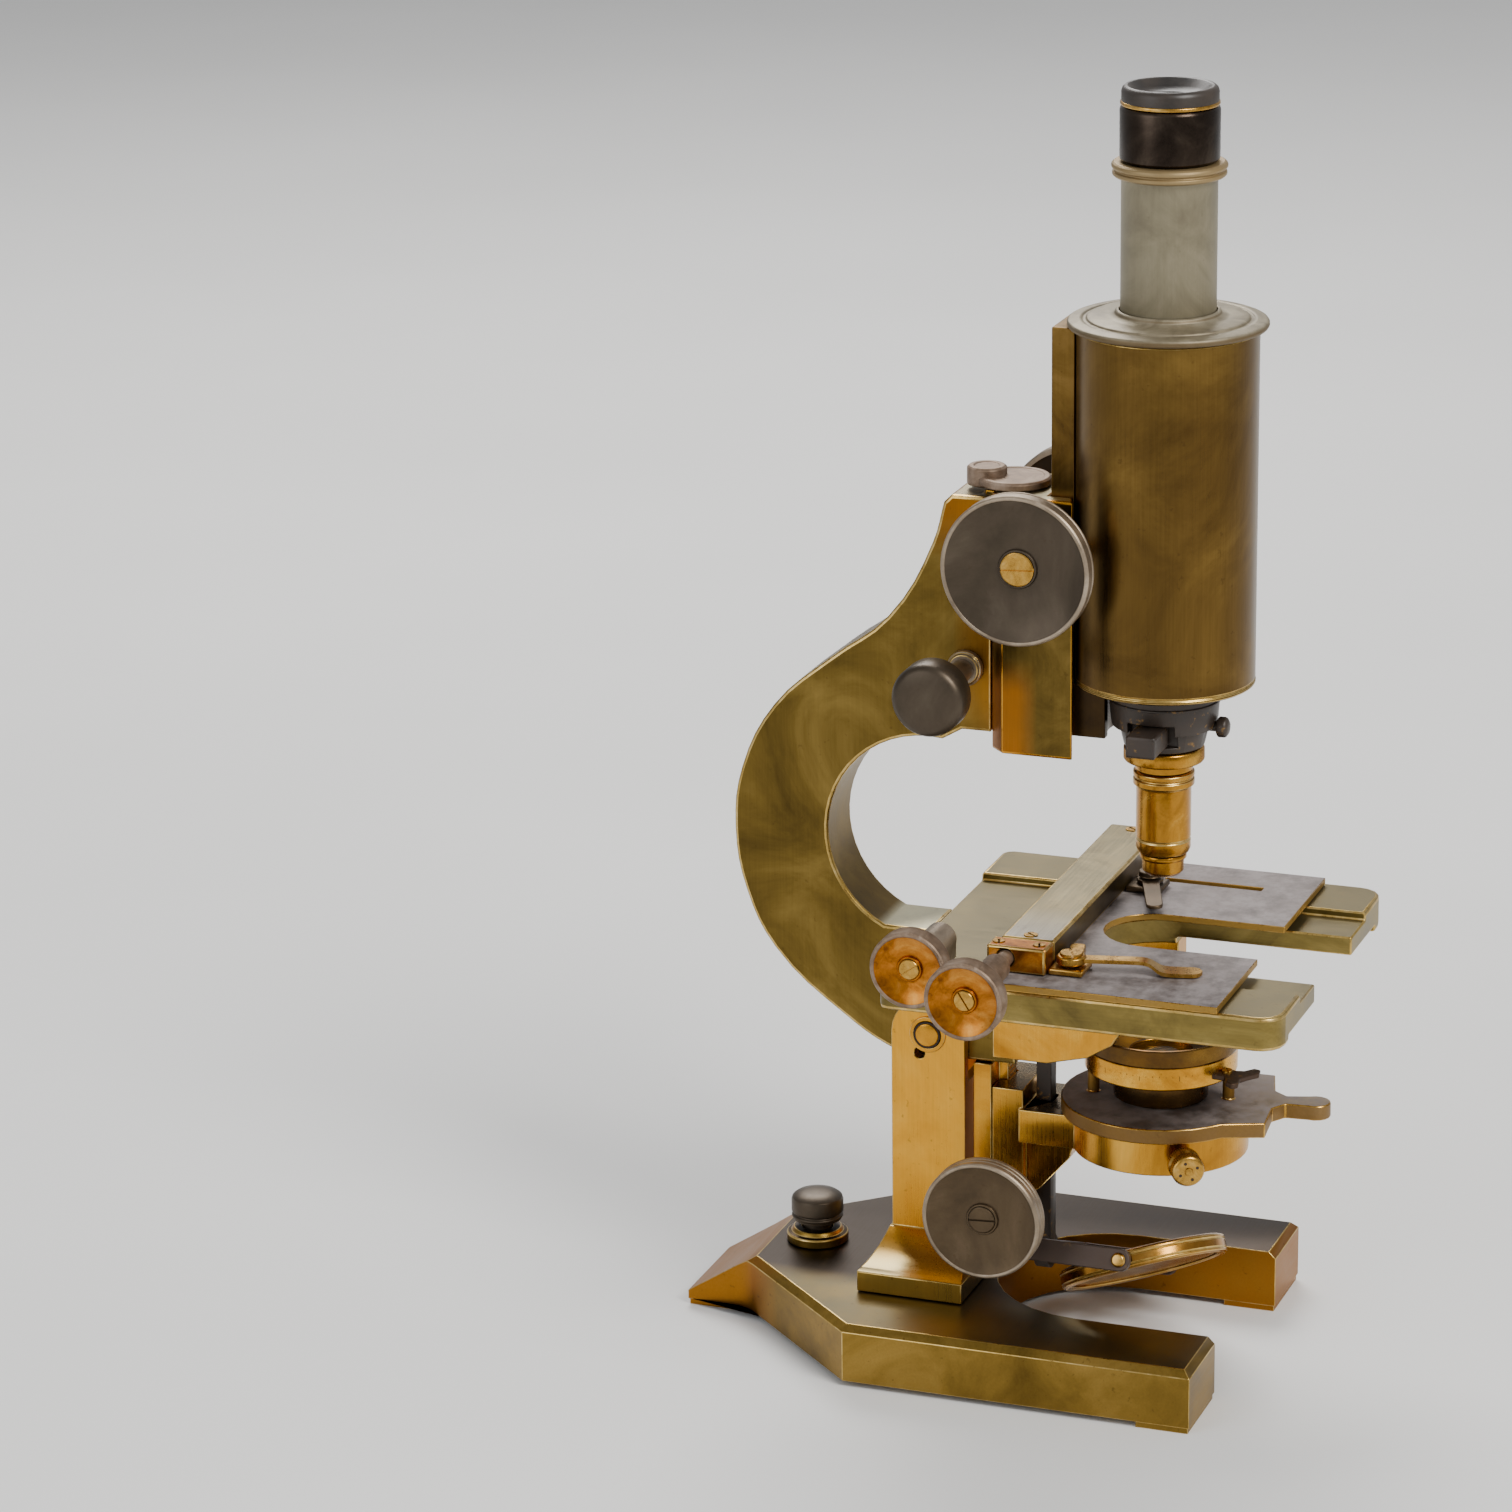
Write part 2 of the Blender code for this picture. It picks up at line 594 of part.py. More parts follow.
def make_fine_drive(rides, hinge):
    collar = turned([(5.1, 3.0), (5.1, 0), (2.8, 0), (2.8, 3.0)], (-LIMB_HALF - GAP, *FINE_AXIS),
                    "near", 28, ring=True)
    node(collar, "fine_focus_collar", GREY_BROWN, 1.0, 0.45, rides)
    end = -34.2
    profile = [(0, -end), (3.2, -end), (3.2, LIMB_HALF + 3.6), (2.4, LIMB_HALF + 3.6), (2.4, -9.0), (0, -9.0)]
    node(turned(profile, (0, *FINE_AXIS), "near", 24), "fine_focus_spindle", BRASS, 1.0, 0.4, hinge)
    profile = [(0, 0.4), (8.6, 0), (10.3, -1.4), (10.3, -10.2), (9.2, -11.4), (0, -11.4)]
    knob = turned(profile, (end - GAP - 11.4, *FINE_AXIS), "near", 36)
    node(knob, "fine_focus_knob", GREY_BROWN, 1.0, 0.5, hinge)


def make_tube(rides):
    clear = TUBE_RADIUS + GAP
    slide = box((-SLIDE_HALF, SLIDE_HALF), (14.5, SLIDE_REAR), (183.5, TUBE_TOP))
    cut(slide, rod(clear, 140.0, (0, 0, TUBE_BOTTOM - 0.4 + 70.0), "Z", 64))
    cut(slide, rod(15.9, 30.0, (0, 0, 190.0), "Z", 40))
    node(slide, "tube_slide", BRASS, 1.0, 0.35, rides)
    wall = TUBE_RADIUS - 1.8
    profile = [(TUBE_RADIUS, TUBE_TOP), (TUBE_RADIUS, TUBE_BOTTOM), (9.0, TUBE_BOTTOM)]
    profile += [(9.0, TUBE_BOTTOM + 2.5), (wall, TUBE_BOTTOM + 2.5), (wall, TUBE_TOP)]
    node(turned(profile, (0, 0, 0), "Z", 48, ring=True), "body_tube", OLIVE, 1.0, 0.35, rides)
    low, bore = TUBE_TOP + GAP, DRAW_RADIUS + GAP
    profile = [(bore, 304.6), (13.9, 304.6), (15.3, 302.8), (22.2, 302.8), (22.2, 302.0), (27.5, 302.0)]
    profile += [(27.5, low), (15.6, low), (15.6, 262.0), (bore, 262.0)]
    node(turned(profile, (0, 0, 0), "Z", 40, ring=True), "tube_head", BRASS, 1.0, 0.4, rides)


def make_nosepiece(rides, lever_hinge, clamp_hinge):
    profile = [(15.5, 199.0), (15.5, 196.0), (15.0, 189.6), (14.6, 187.0), (12.6, 187.0), (11.2, 181.2)]
    profile += [(7.0, 181.2), (7.0, 199.0)]
    body = turned(profile, (0, 0, 0), "Z", 32, ring=True)
    cut(body, box((-30.0, -8.9), (-6.7, 6.7), (183.0, 190.2)))
    cut(body, rod(1.8, 14.0, (0, -14.0, 187.3), "front", 16))
    node(body, "nosepiece", BLACK, 0.3, 0.45, rides)
    lug = box((-24.0, -10.0), (-4.2, 4.2), (183.4, 189.8))
    soften(lug, 0.5)
    node(lug, "changer_lug", BLACK, 0.3, 0.4, lever_hinge)
    screw = [(0, 18.6), (1.6, 18.3), (2.9, 17.2), (2.9, 15.8), (1.4, 15.8), (1.4, 9.4), (0, 9.4)]
    screw = turned(screw, (0, 0, 187.3), "front", 20)
    node(screw, "nosepiece_clamp_screw", BLACK, 0.3, 0.4, clamp_hinge)


def make_objective(rides):
    profile = [(11.3, 180.9), (11.3, 176.4), (8.0, 176.4), (8.0, 174.1), (5.5, 174.1), (5.5, 180.9)]
    node(turned(profile, (0, 0, 0), "Z", 28, ring=True), "objective_adapter", BRASS, 1.0, 0.35, rides)
    profile = [(8.6, 173.8), (8.6, 169.2), (7.7, 169.0), (7.7, 151.0), (7.0, 149.6), (4.6, 149.6)]
    profile += [(4.6, 173.8)]
    node(turned(profile, (0, 0, 0), "Z", 28, ring=True), "objective_barrel", BRASS, 1.0, 0.3, rides)
    profile = [(6.6, 149.3), (5.6, 146.0), (4.7, 143.2), (2.4, 143.2), (2.4, 149.3)]
    node(turned(profile, (0, 0, 0), "Z", 24, ring=True), "objective_nose", BRASS, 1.0, 0.35, rides)
    profile = [(0, 146.4), (2.1, 146.4), (2.1, 143.6), (0, 143.3)]
    node(turned(profile, (0, 0, 0), "Z", 20), "objective_lens", GLASS, 0.0, 0.05, rides)


def make_draw_tube(rides):
    inner = DRAW_RADIUS - 1.0
    profile = [(15.8, DRAW_TOP), (15.8, 341.2), (DRAW_RADIUS, 340.6), (DRAW_RADIUS, 241.0)]
    profile += [(inner, 241.0), (inner, DRAW_TOP)]
    node(turned(profile, (0, 0, 0), "Z", 36, ring=True), "draw_tube", NICKEL, 1.0, 0.45, rides)


def make_eyepiece(rides):
    low, inner = DRAW_TOP + GAP, 10.6
    profile = [(13.6, 360.5), (13.6, low), (11.8, low), (11.8, 322.0), (inner, 322.0), (inner, 360.5)]
    node(turned(profile, (0, 0, 0), "Z", 32, ring=True), "eyepiece_body", GREY_BROWN, 0.8, 0.4, rides)
    profile = [(12.0, EYEPIECE_TOP), (13.2, 365.0), (13.2, 360.8), (6.2, 360.8), (6.2, 362.6)]
    node(turned(profile, (0, 0, 0), "Z", 32, ring=True), "eyepiece_cap", BLACK, 0.0, 0.45, rides)
    profile = [(0, 363.0), (5.8, 362.2), (5.8, 360.8), (0, 360.8)]
    node(turned(profile, (0, 0, 0), "Z", 28), "eye_lens", GLASS, 0.0, 0.05, rides)
    profile = [(0, 328.2), (10.3, 326.2), (10.3, 324.6), (0, 324.6)]
    node(turned(profile, (0, 0, 0), "Z", 28), "field_lens", GLASS, 0.0, 0.05, rides)


def make_substage_rail(rides):
    rail = box((-11.0, 11.0), (RAIL_FRONT, RAIL_REAR), (36.0, 83.9))
    join(rail, box((-3.8, 3.8), (RACK_FRONT, RAIL_FRONT + 1.0), (36.0, 83.9)))
    node(rail, "substage_rail", BRASS, 1.0, 0.3, rides)


def make_substage_bracket(rides):
    """The racked block, its arm and the ring that carries the iris and condenser."""
    block = box((-11.0, 11.0), (BLOCK_FRONT, RAIL_FRONT - GAP), (40.0, 77.2))
    join(block, box((-12.0, 12.0), (16.0, BLOCK_FRONT + 1.0), (RING_BOTTOM, RING_TOP - 0.4)))
    gusset = [(BLOCK_FRONT + 1.0, 63.0), (23.0, 63.0), (24.5, 57.0), (33.5, 46.5), (BLOCK_FRONT + 1.0, 44.0)]
    join(block, plate(gusset, 16.0, 0.0, "YZ"))
    join(block, rod(RING_RADIUS, RING_TOP - RING_BOTTOM, (0, 0, (RING_TOP + RING_BOTTOM) / 2), "Z", 48))
    cut(block, rod(18.0, 40.0, (0, 0, 67.0), "Z", 40))
    cut(block, box((-3.0, 3.0), (MIRROR_BAR[0] - 0.5, MIRROR_BAR[1] + 0.5), (30.0, 90.0)))
    cut(block, box((-4.2, 4.2), (RACK_FRONT - 0.4, 50.0), (30.0, 90.0)))
    cut(block, rod(3.8, 9.0, (0, *SUBSTAGE_AXIS), "far", 24))
    cut(block, rod(2.7, 40.0, (0, *SUBSTAGE_AXIS), "far", 24))
    cut(block, clamp_bore())
    node(block, "substage_bracket", BRASS, 1.0, 0.3, rides)


def clamp_place(radius):
    """A place on the clamp screw's radial axis."""
    return (-radius * math.cos(CLAMP_TURN), -radius * math.sin(CLAMP_TURN), 67.2)


def clamp_bore():
    bore = rod(2.1, 14.0, clamp_place(22.0), "near", 16)
    bore.rotation_euler = (0.0, -math.pi / 2, CLAMP_TURN)
    return bore


def make_substage_drive(hinge, clamp_hinge):
    profile = [(0, 34.2), (3.0, 34.2), (3.0, 11.4), (2.4, 11.4), (2.4, 4.0), (3.3, 4.0), (3.3, -4.0)]
    profile += [(2.4, -4.0), (2.4, -10.0), (0, -10.0)]
    shaft = turned(profile, (0, *SUBSTAGE_AXIS), "near", 24)
    node(shaft, "substage_pinion", GREY_BROWN, 1.0, 0.45, hinge)
    profile = dished_knob(17.3, 6.5, 4.4, 5.0)[:-1] + [(0, -6.5)]
    knob = turned(profile, (-41.0, *SUBSTAGE_AXIS), "near", 32)
    node(knob, "substage_knob", COPPER, 1.0, 0.5, hinge)
    profile = [(0, 36.5), (4.0, 36.5), (4.7, 35.9), (4.7, 28.8), (1.8, 28.8), (1.8, 18.6), (0, 18.6)]
    screw = turned(profile, (0, 0, 67.2), "near", 24)
    screw.rotation_euler = (0.0, -math.pi / 2, CLAMP_TURN)
    node(screw, "substage_clamp_screw", BRASS, 1.0, 0.4, clamp_hinge)


def iris_outline():
    """A disc with a broad front tab and a finger paddle, drawn with the handle along -Y."""
    disc = arc((0.0, 0.0), IRIS_RADIUS, -42.0, 222.0, 30)
    tab = [(-19.2, -31.0), (-7.0, -32.0), (-3.2, -35.5)]
    paddle = arc((0.0, -43.8), 4.3, 155.0, 385.0, 10)
    return disc + tab + paddle + [(3.2, -35.5), (7.0, -32.0), (19.2, -31.0)]


def make_iris(rides):
    low = RING_TOP + GAP
    disc = plate(iris_outline(), IRIS_TOP - low, (IRIS_TOP + low) / 2)
    disc.rotation_euler = (0.0, 0.0, HANDLE_TURN)
    cut(disc, rod(11.0, 20.0, (0, 0, 74.0), "Z", 32))
    for side in (-1, 1):
        join(disc, rod(1.7, 10.2, (-3.0 * side, 19.0 * side, 80.1), "Z", 16))
    node(disc, "iris_plate", GREY_BROWN, 1.0, 0.5, rides)


def make_condenser(rides):
    profile = [(9.0, 90.0), (20.4, 95.2), (22.2, 95.2), (22.2, 92.4), (21.6, 92.4), (21.6, 85.5)]
    profile += [(13.4, 85.5), (13.4, 77.3), (12.0, 77.3), (12.0, 84.0), (9.0, 84.0)]
    node(turned(profile, (0, 0, 0), "Z", 36, ring=True), "condenser_mount", BRASS, 1.0, 0.35, rides)
    profile = [(0, 90.2), (5.0, 89.4), (8.7, 87.0), (8.7, 84.6), (0, 84.6)]
    node(turned(profile, (0, 0, 0), "Z", 28), "condenser_lens", GLASS, 0.0, 0.05, rides)


def make_mirror_bar(rides):
    bar = box((-2.5, 2.5), MIRROR_BAR, (26.0, 94.2))
    middle = sum(MIRROR_BAR) / 2
    join(bar, rod(5.0, MIRROR_BAR[1] - MIRROR_BAR[0], (0, middle, MIRROR_CENTRE[2]), "front", 28))
    cut(bar, rod(2.5, 20.0, (0, middle, MIRROR_CENTRE[2]), "front", 20))
    node(bar, "mirror_bar", BLACK, 0.5, 0.4, rides)


def rolled(obj):
    """Roll a shape built flat about the mirror's stem."""
    stem = Matrix.Translation(at(*MIRROR_CENTRE))
    bpy.context.view_layer.update()
    obj.matrix_world = stem @ Matrix.Rotation(FORK_ROLL, 4, "Y") @ stem.inverted() @ obj.matrix_world
    return obj


def round_tips(obj, front, width):
    """Round the ends of a fork's arms, whose tips stand at the front value of Y."""
    bm = bmesh.new()
    bm.from_mesh(obj.data)
    edges = []
    for edge in bm.edges:
        first, second = (vert.co for vert in edge.verts)
        across = abs(first.z - second.z) < 0.1 * MM
        if across and max(first.y, second.y) < (front + 0.1) * MM:
            edges.append(edge)
    bmesh.ops.bevel(bm, geom=edges, offset=width * MM, segments=4, profile=0.5, affect="EDGES")
    bm.to_mesh(obj.data)
    bm.free()
    return obj


def make_mirror_fork(rides):
    """A fork on a stem, rolled so that its near arm stands higher."""
    _, centre_y, centre_z = MIRROR_CENTRE
    inner, outer, half = MIRROR_RADIUS + 0.6, MIRROR_RADIUS + 3.0, 3.2
    front, back = centre_y - half, MIRROR_BAR[0] - 0.5
    outline = [(-outer, front), (-inner, front), (-inner, back - 2.0), (inner, back - 2.0)]
    outline += [(inner, front), (outer, front), (outer, back), (-outer, back)]
    fork = rolled(round_tips(plate(outline, 2 * half, centre_z), front, half - 0.3))
    join(fork, rolled(rod(2.2, 7.0, (0, back + 2.5, centre_z), "front", 20)))
    cut(fork, rolled(rod(1.4, 80.0, (0, centre_y, centre_z), "far", 16)))
    node(fork, "mirror_fork", BLACK, 0.6, 0.45, rides)
    for name in ("near", "far"):
        profile = [(0, outer + 1.2), (1.6, outer + 1.0), (2.2, outer + GAP), (1.1, outer + GAP)]
        profile += [(1.1, inner - 0.2), (0, inner - 0.2)]
        screw = rolled(turned(profile, MIRROR_CENTRE, name, 16))
        node(screw, "mirror_pivot_" + name, BRASS, 1.0, 0.35, rides)


def make_mirror(rides):
    """A two-sided mirror: a flat glass above, a hollow one below, in one brass rim."""
    rim = [(MIRROR_RADIUS, 1.9), (MIRROR_RADIUS, -1.9), (22.4, -2.2), (21.4, -1.8), (21.4, -0.4)]
    rim += [(20.0, -0.4), (20.0, 0.4), (21.4, 0.4), (21.4, 1.8), (22.4, 2.2)]
    pieces = {
        "mirror_rim": (turned(rim, MIRROR_CENTRE, "Z", 36, ring=True), BRASS, 1.0, 0.3),
        "mirror_flat": (turned([(0, 1.7), (21.1, 1.7), (21.1, 0.7), (0, 0.7)], MIRROR_CENTRE), GLASS, 1.0, 0.03),
        "mirror_hollow": (turned([(0, -0.7), (21.1, -0.7), (21.1, -1.8), (11.0, -1.4), (0, -1.2)],
                                 MIRROR_CENTRE), GLASS, 1.0, 0.03),
    }
    tilt = Matrix.Rotation(FORK_ROLL, 4, "Y") @ Matrix.Rotation(MIRROR_TILT, 4, "X")
    for name, (obj, colour, metallic, roughness) in pieces.items():
        obj.rotation_euler = tilt.to_euler()
        node(obj, name, colour, metallic, roughness, rides)


def build():
    hinge_place = (0, HINGE_Y, HINGE_Z)
    limb = joint("limb_hinge", hinge_place)
    toe = joint("toe_stop_slide", (0, 104, FOOT_TOP))
    carrier = joint("fine_slide", (0, CARRIER_REAR, CARRIER_BOTTOM), limb)
    fine = joint("fine_knob_hinge", (0, *FINE_AXIS), limb)
    coarse = joint("coarse_knob_hinge", (0, *COARSE_AXIS), carrier)
    tube = joint("coarse_slide", (0, SLIDE_REAR, 190.0), carrier)
    lever = joint("changer_hinge", (0, 0, 186.6), tube)
    clamp = joint("nosepiece_clamp_hinge", (0, 0, 187.3), tube)
    draw = joint("draw_slide", (0, 0, TUBE_TOP), tube)
    eyepiece = joint("eyepiece_slide", (0, 0, DRAW_TOP), draw)
    stage_y = joint("stage_y_slide", (0, 0, STAGE_TOP), limb)
    stage_x = joint("stage_x_slide", (0, 26.0, PLATE_TOP), stage_y)
    near_clip = joint("clip_near_hinge", (*NEAR_CLIP, 130.0), stage_x)
    far_clip = joint("clip_far_hinge", (*FAR_CLIP, 130.0), stage_x)
    x_knob = joint("stage_x_knob_hinge", (-60.0, *X_KNOB_AXIS), stage_x)
    y_knob = joint("stage_y_knob_hinge", (-60.0, *Y_KNOB_AXIS), limb)
    substage = joint("substage_slide", (0, RAIL_FRONT, 60.0), limb)
    pinion = joint("substage_knob_hinge", (0, *SUBSTAGE_AXIS), substage)
    iris = joint("iris_hinge", (0, 0, RING_TOP), substage)
    ring_clamp = joint("substage_clamp_hinge", clamp_place(25.0), substage)
    fork = joint("mirror_fork_hinge", (0, MIRROR_BAR[0], MIRROR_CENTRE[2]), limb)
    mirror = joint("mirror_hinge", MIRROR_CENTRE, fork)

    make_foot()
    make_pillar()
    make_pin()
    make_toe_stop(toe)
    make_limb(limb)
    make_stage_bracket(limb)
    make_stage(limb)
    make_stage_plate(stage_y)
    make_cross_bar(stage_x)
    make_clips(stage_x, near_clip, far_clip)
    make_stage_knobs(x_knob, y_knob, limb)
    make_carrier(carrier)
    make_coarse_drive(coarse)
    make_fine_drive(limb, fine)
    make_tube(tube)
    make_nosepiece(tube, lever, clamp)
    make_objective(tube)
    make_draw_tube(draw)
    make_eyepiece(eyepiece)
    make_substage_rail(limb)
    make_substage_bracket(substage)
    make_substage_drive(pinion, ring_clamp)
    make_iris(iris)
    make_condenser(iris)
    make_mirror_bar(limb)
    make_mirror_fork(fork)
    make_mirror(mirror)


build()
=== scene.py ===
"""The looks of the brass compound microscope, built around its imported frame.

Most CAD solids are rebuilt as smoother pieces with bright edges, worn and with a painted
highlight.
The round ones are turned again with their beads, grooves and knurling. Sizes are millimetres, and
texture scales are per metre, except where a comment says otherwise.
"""

import json
import math

import bmesh
import bpy
from mathutils import Matrix, Quaternion, Vector


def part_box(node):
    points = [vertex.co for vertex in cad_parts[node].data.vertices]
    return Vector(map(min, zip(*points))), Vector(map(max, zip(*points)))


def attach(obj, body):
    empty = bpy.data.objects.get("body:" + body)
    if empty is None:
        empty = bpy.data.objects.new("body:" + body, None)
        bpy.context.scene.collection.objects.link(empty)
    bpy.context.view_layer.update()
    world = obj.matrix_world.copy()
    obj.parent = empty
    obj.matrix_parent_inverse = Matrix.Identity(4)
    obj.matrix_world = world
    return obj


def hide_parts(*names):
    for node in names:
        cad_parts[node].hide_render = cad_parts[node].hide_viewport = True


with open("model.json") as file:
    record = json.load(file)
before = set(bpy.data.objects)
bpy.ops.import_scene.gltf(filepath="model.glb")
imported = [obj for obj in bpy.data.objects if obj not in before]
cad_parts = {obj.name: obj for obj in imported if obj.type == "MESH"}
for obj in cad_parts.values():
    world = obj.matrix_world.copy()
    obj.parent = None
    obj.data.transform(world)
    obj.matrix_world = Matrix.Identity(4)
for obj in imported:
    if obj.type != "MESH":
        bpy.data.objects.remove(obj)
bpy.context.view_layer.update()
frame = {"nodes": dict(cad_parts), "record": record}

MM = 0.001
RECORD = frame["record"]
BODY = {node: body for body, nodes in RECORD["behaviour"]["bodies"].items() for node in nodes}
SLOT = {part["node"]: part["material_slot"] for part in RECORD["subparts"]}
JOINTS = {joint["name"]: joint for joint in RECORD["behaviour"]["joints"]}
UP = Vector((0.0, 0.0, 1.0))
NEAR = Vector((-1.0, 0.0, 0.0))
FAR = Vector((1.0, 0.0, 0.0))
FRONT = Vector((0.0, -1.0, 0.0))


# ---------------------------------------------------------------- materials

def srgb(red, green, blue):
    """A colour from its 0 to 255 screen values."""
    def linear(value):
        share = value / 255
        return share / 12.92 if share <= 0.04045 else ((share + 0.055) / 1.055) ** 2.4
    return (linear(red), linear(green), linear(blue), 1.0)


class Nodes:
    """Short names for building a node tree."""

    def __init__(self, name):
        self.material = bpy.data.materials.new(name)
        self.material.use_nodes = True
        self.tree = self.material.node_tree
        self.shader = self.tree.nodes["Principled BSDF"]
        self.place = self.new("ShaderNodeTexCoord")

    def new(self, kind, **values):
        node = self.tree.nodes.new(kind)
        for name, value in values.items():
            setattr(node, name, value)
        return node

    def feed(self, socket, value):
        if isinstance(value, bpy.types.NodeSocket):
            self.tree.links.new(value, socket)
        else:
            socket.default_value = value

    def noise(self, scale, detail=4.0, rough=0.55, stretch=None, twist=0.0):
        """Noise with features 1/scale metres across, longer along a stretched axis."""
        where = self.place.outputs["Object"]
        if stretch:
            mapping = self.new("ShaderNodeMapping")
            self.feed(mapping.inputs["Vector"], where)
            self.feed(mapping.inputs["Scale"], stretch)
            where = mapping.outputs["Vector"]
        noise = self.new("ShaderNodeTexNoise")
        self.feed(noise.inputs["Vector"], where)
        self.feed(noise.inputs["Scale"], scale)
        self.feed(noise.inputs["Detail"], detail)
        self.feed(noise.inputs["Roughness"], rough)
        self.feed(noise.inputs["Distortion"], twist)
        return noise.outputs["Fac"]

    def ramp(self, value, stops):
        """Colours along a value, from (place, colour) stops."""
        ramp = self.new("ShaderNodeValToRGB")
        self.feed(ramp.inputs["Fac"], value)
        elements = ramp.color_ramp.elements
        while len(elements) < len(stops):
            elements.new(0.5)
        for element, (place, colour) in zip(elements, stops):
            element.position = place
            element.color = colour
        return ramp.outputs["Color"]

    def span(self, value, low, high, first, last):
        """A value's range from low to high, stretched to first to last."""
        span = self.new("ShaderNodeMapRange")
        for socket, number in zip(span.inputs, (value, low, high, first, last)):
            self.feed(socket, number)
        return span.outputs["Result"]

    def mix(self, share, first, second, blend="MIX"):
        mix = self.new("ShaderNodeMix", data_type="RGBA", blend_type=blend)
        self.feed(mix.inputs["Factor"], share)
        self.feed(mix.inputs[6], first)
        self.feed(mix.inputs[7], second)
        return mix.outputs[2]

    def maths(self, kind, first, second=0.5):
        maths = self.new("ShaderNodeMath", operation=kind)
        self.feed(maths.inputs[0], first)
        self.feed(maths.inputs[1], second)
        return maths.outputs[0]

    def facing(self, axis, low, high):
        """0 to 1 as the piece's own surface turns towards one of its axes."""
        parts = self.new("ShaderNodeSeparateXYZ")
        self.feed(parts.inputs[0], self.place.outputs["Normal"])
        return self.span(parts.outputs[axis], low, high, 0.0, 1.0)

    def at(self, axis, low, high):
        """0 to 1 between two places, in millimetres, along one of the piece's axes."""
        parts = self.new("ShaderNodeSeparateXYZ")
        self.feed(parts.inputs[0], self.place.outputs["Object"])
        return self.span(parts.outputs[axis], low * MM, high * MM, 0.0, 1.0)

    def zone(self, conditions):
        """0 to 1 where every (at or facing, axis, low, high) condition holds."""
        share = 1.0
        for kind, axis, low, high in conditions:
            part = self.at(axis, low, high) if kind == "at" else self.facing(axis, low, high)
            share = self.maths("MULTIPLY", share, part)
        return share

    def bump(self, height, strength, distance):
        bump = self.new("ShaderNodeBump")
        self.feed(bump.inputs["Strength"], strength)
        self.feed(bump.inputs["Distance"], distance)
        self.feed(bump.inputs["Height"], height)
        self.feed(self.shader.inputs["Normal"], bump.outputs["Normal"])


GRAIN = 1500.0        # fine scratches along one axis
SATIN = 1400.0        # the same with no direction
BLOTCH = 90.0         # where a painted zone or a lit top is rubbed
SPECK = 420.0         # small dark spots
DUST = 110.0          # patches of dust on what faces upwards
TOP = ("facing", "Z", 0.88, 0.97)
GREYS = ((0.35, srgb(150, 150, 150)), (0.65, srgb(255, 255, 255)))
SPECK_TONE = srgb(58, 40, 22)
TARNISH = srgb(84, 68, 54)


def patina(name, dark, mid, light, rough=(0.28, 0.5), grain=None, patch=45.0, specks=0.35,
           top=None, dust=None, metallic=1.0, streak=0.3, zones=(), over=()):
    """Old lacquered brass: cloudy colour, fine grain along one axis, specks and handled sheen.

    Zones are (conditions, tone) pairs whose edges are rubbed, and those in over are not. Dust
    lies on whatever faces upwards.
    """
    nodes = Nodes(name)
    cloud = nodes.noise(patch, 6.0, 0.62, twist=0.8)
    colour = nodes.ramp(cloud, [(0.30, dark), (0.50, mid), (0.72, light)])
    blotch = nodes.span(nodes.noise(BLOTCH, 5.0), 0.25, 0.7, 0.75, 1.0)
    rubbed = list(zones) + ([([TOP], top)] if top else [])
    for conditions, tone in rubbed:
        colour = nodes.mix(nodes.maths("MULTIPLY", nodes.zone(conditions), blotch), colour, tone)
    for conditions, tone in over:
        colour = nodes.mix(nodes.zone(conditions), colour, tone)
    fine = nodes.noise(GRAIN, 3.0, 0.6, grain) if grain else nodes.noise(SATIN, 3.0, 0.6)
    colour = nodes.mix(streak, colour, nodes.ramp(fine, GREYS), "MULTIPLY")
    spots = nodes.span(nodes.noise(SPECK, 2.0, 0.7), 0.66, 0.74, 0.0, specks)
    colour = nodes.mix(spots, colour, SPECK_TONE)
    shine = nodes.maths("ADD", nodes.maths("MULTIPLY", cloud, 0.6),
                        nodes.maths("MULTIPLY", fine, 0.4))
    roughness = nodes.span(shine, 0.3, 0.7, rough[0], rough[1])
    if dust:
        dusted = nodes.maths("MULTIPLY", nodes.facing("Z", 0.5, 0.95),
                             nodes.span(nodes.noise(DUST, 8.0, 0.7), 0.38, 0.6, 0.2, 1.0))
        colour = nodes.mix(dusted, colour, dust)
        roughness = nodes.maths("ADD", roughness, nodes.maths("MULTIPLY", dusted, 0.3))
        nodes.feed(nodes.shader.inputs["Metallic"], nodes.span(dusted, 0.0, 1.0, metallic, 0.25))
    else:
        nodes.feed(nodes.shader.inputs["Metallic"], metallic)
    nodes.feed(nodes.shader.inputs["Base Color"], colour)
    nodes.feed(nodes.shader.inputs["Roughness"], roughness)
    nodes.bump(nodes.maths("ADD", fine, spots), 0.1, 0.00006)
    return nodes.material


def enamel(name, base, worn, rough=0.35, metallic=0.2, share=0.12):
    """Dark lacquer that has worn through to metal in small patches."""
    nodes = Nodes(name)
    patches = nodes.span(nodes.noise(260.0, 6.0, 0.7), 0.60, 0.66, 0.0, share * 4)
    cloud = nodes.noise(90.0, 4.0)
    colour = nodes.mix(nodes.span(cloud, 0.3, 0.7, 0.0, 0.35), base, TARNISH)
    nodes.feed(nodes.shader.inputs["Base Color"], nodes.mix(patches, colour, worn))
    nodes.feed(nodes.shader.inputs["Metallic"], nodes.span(patches, 0.0, 1.0, metallic, 1.0))
    nodes.feed(nodes.shader.inputs["Roughness"], nodes.span(cloud, 0.3, 0.7, rough, rough + 0.2))
    nodes.bump(nodes.noise(900.0, 3.0), 0.15, 0.00006)
    return nodes.material


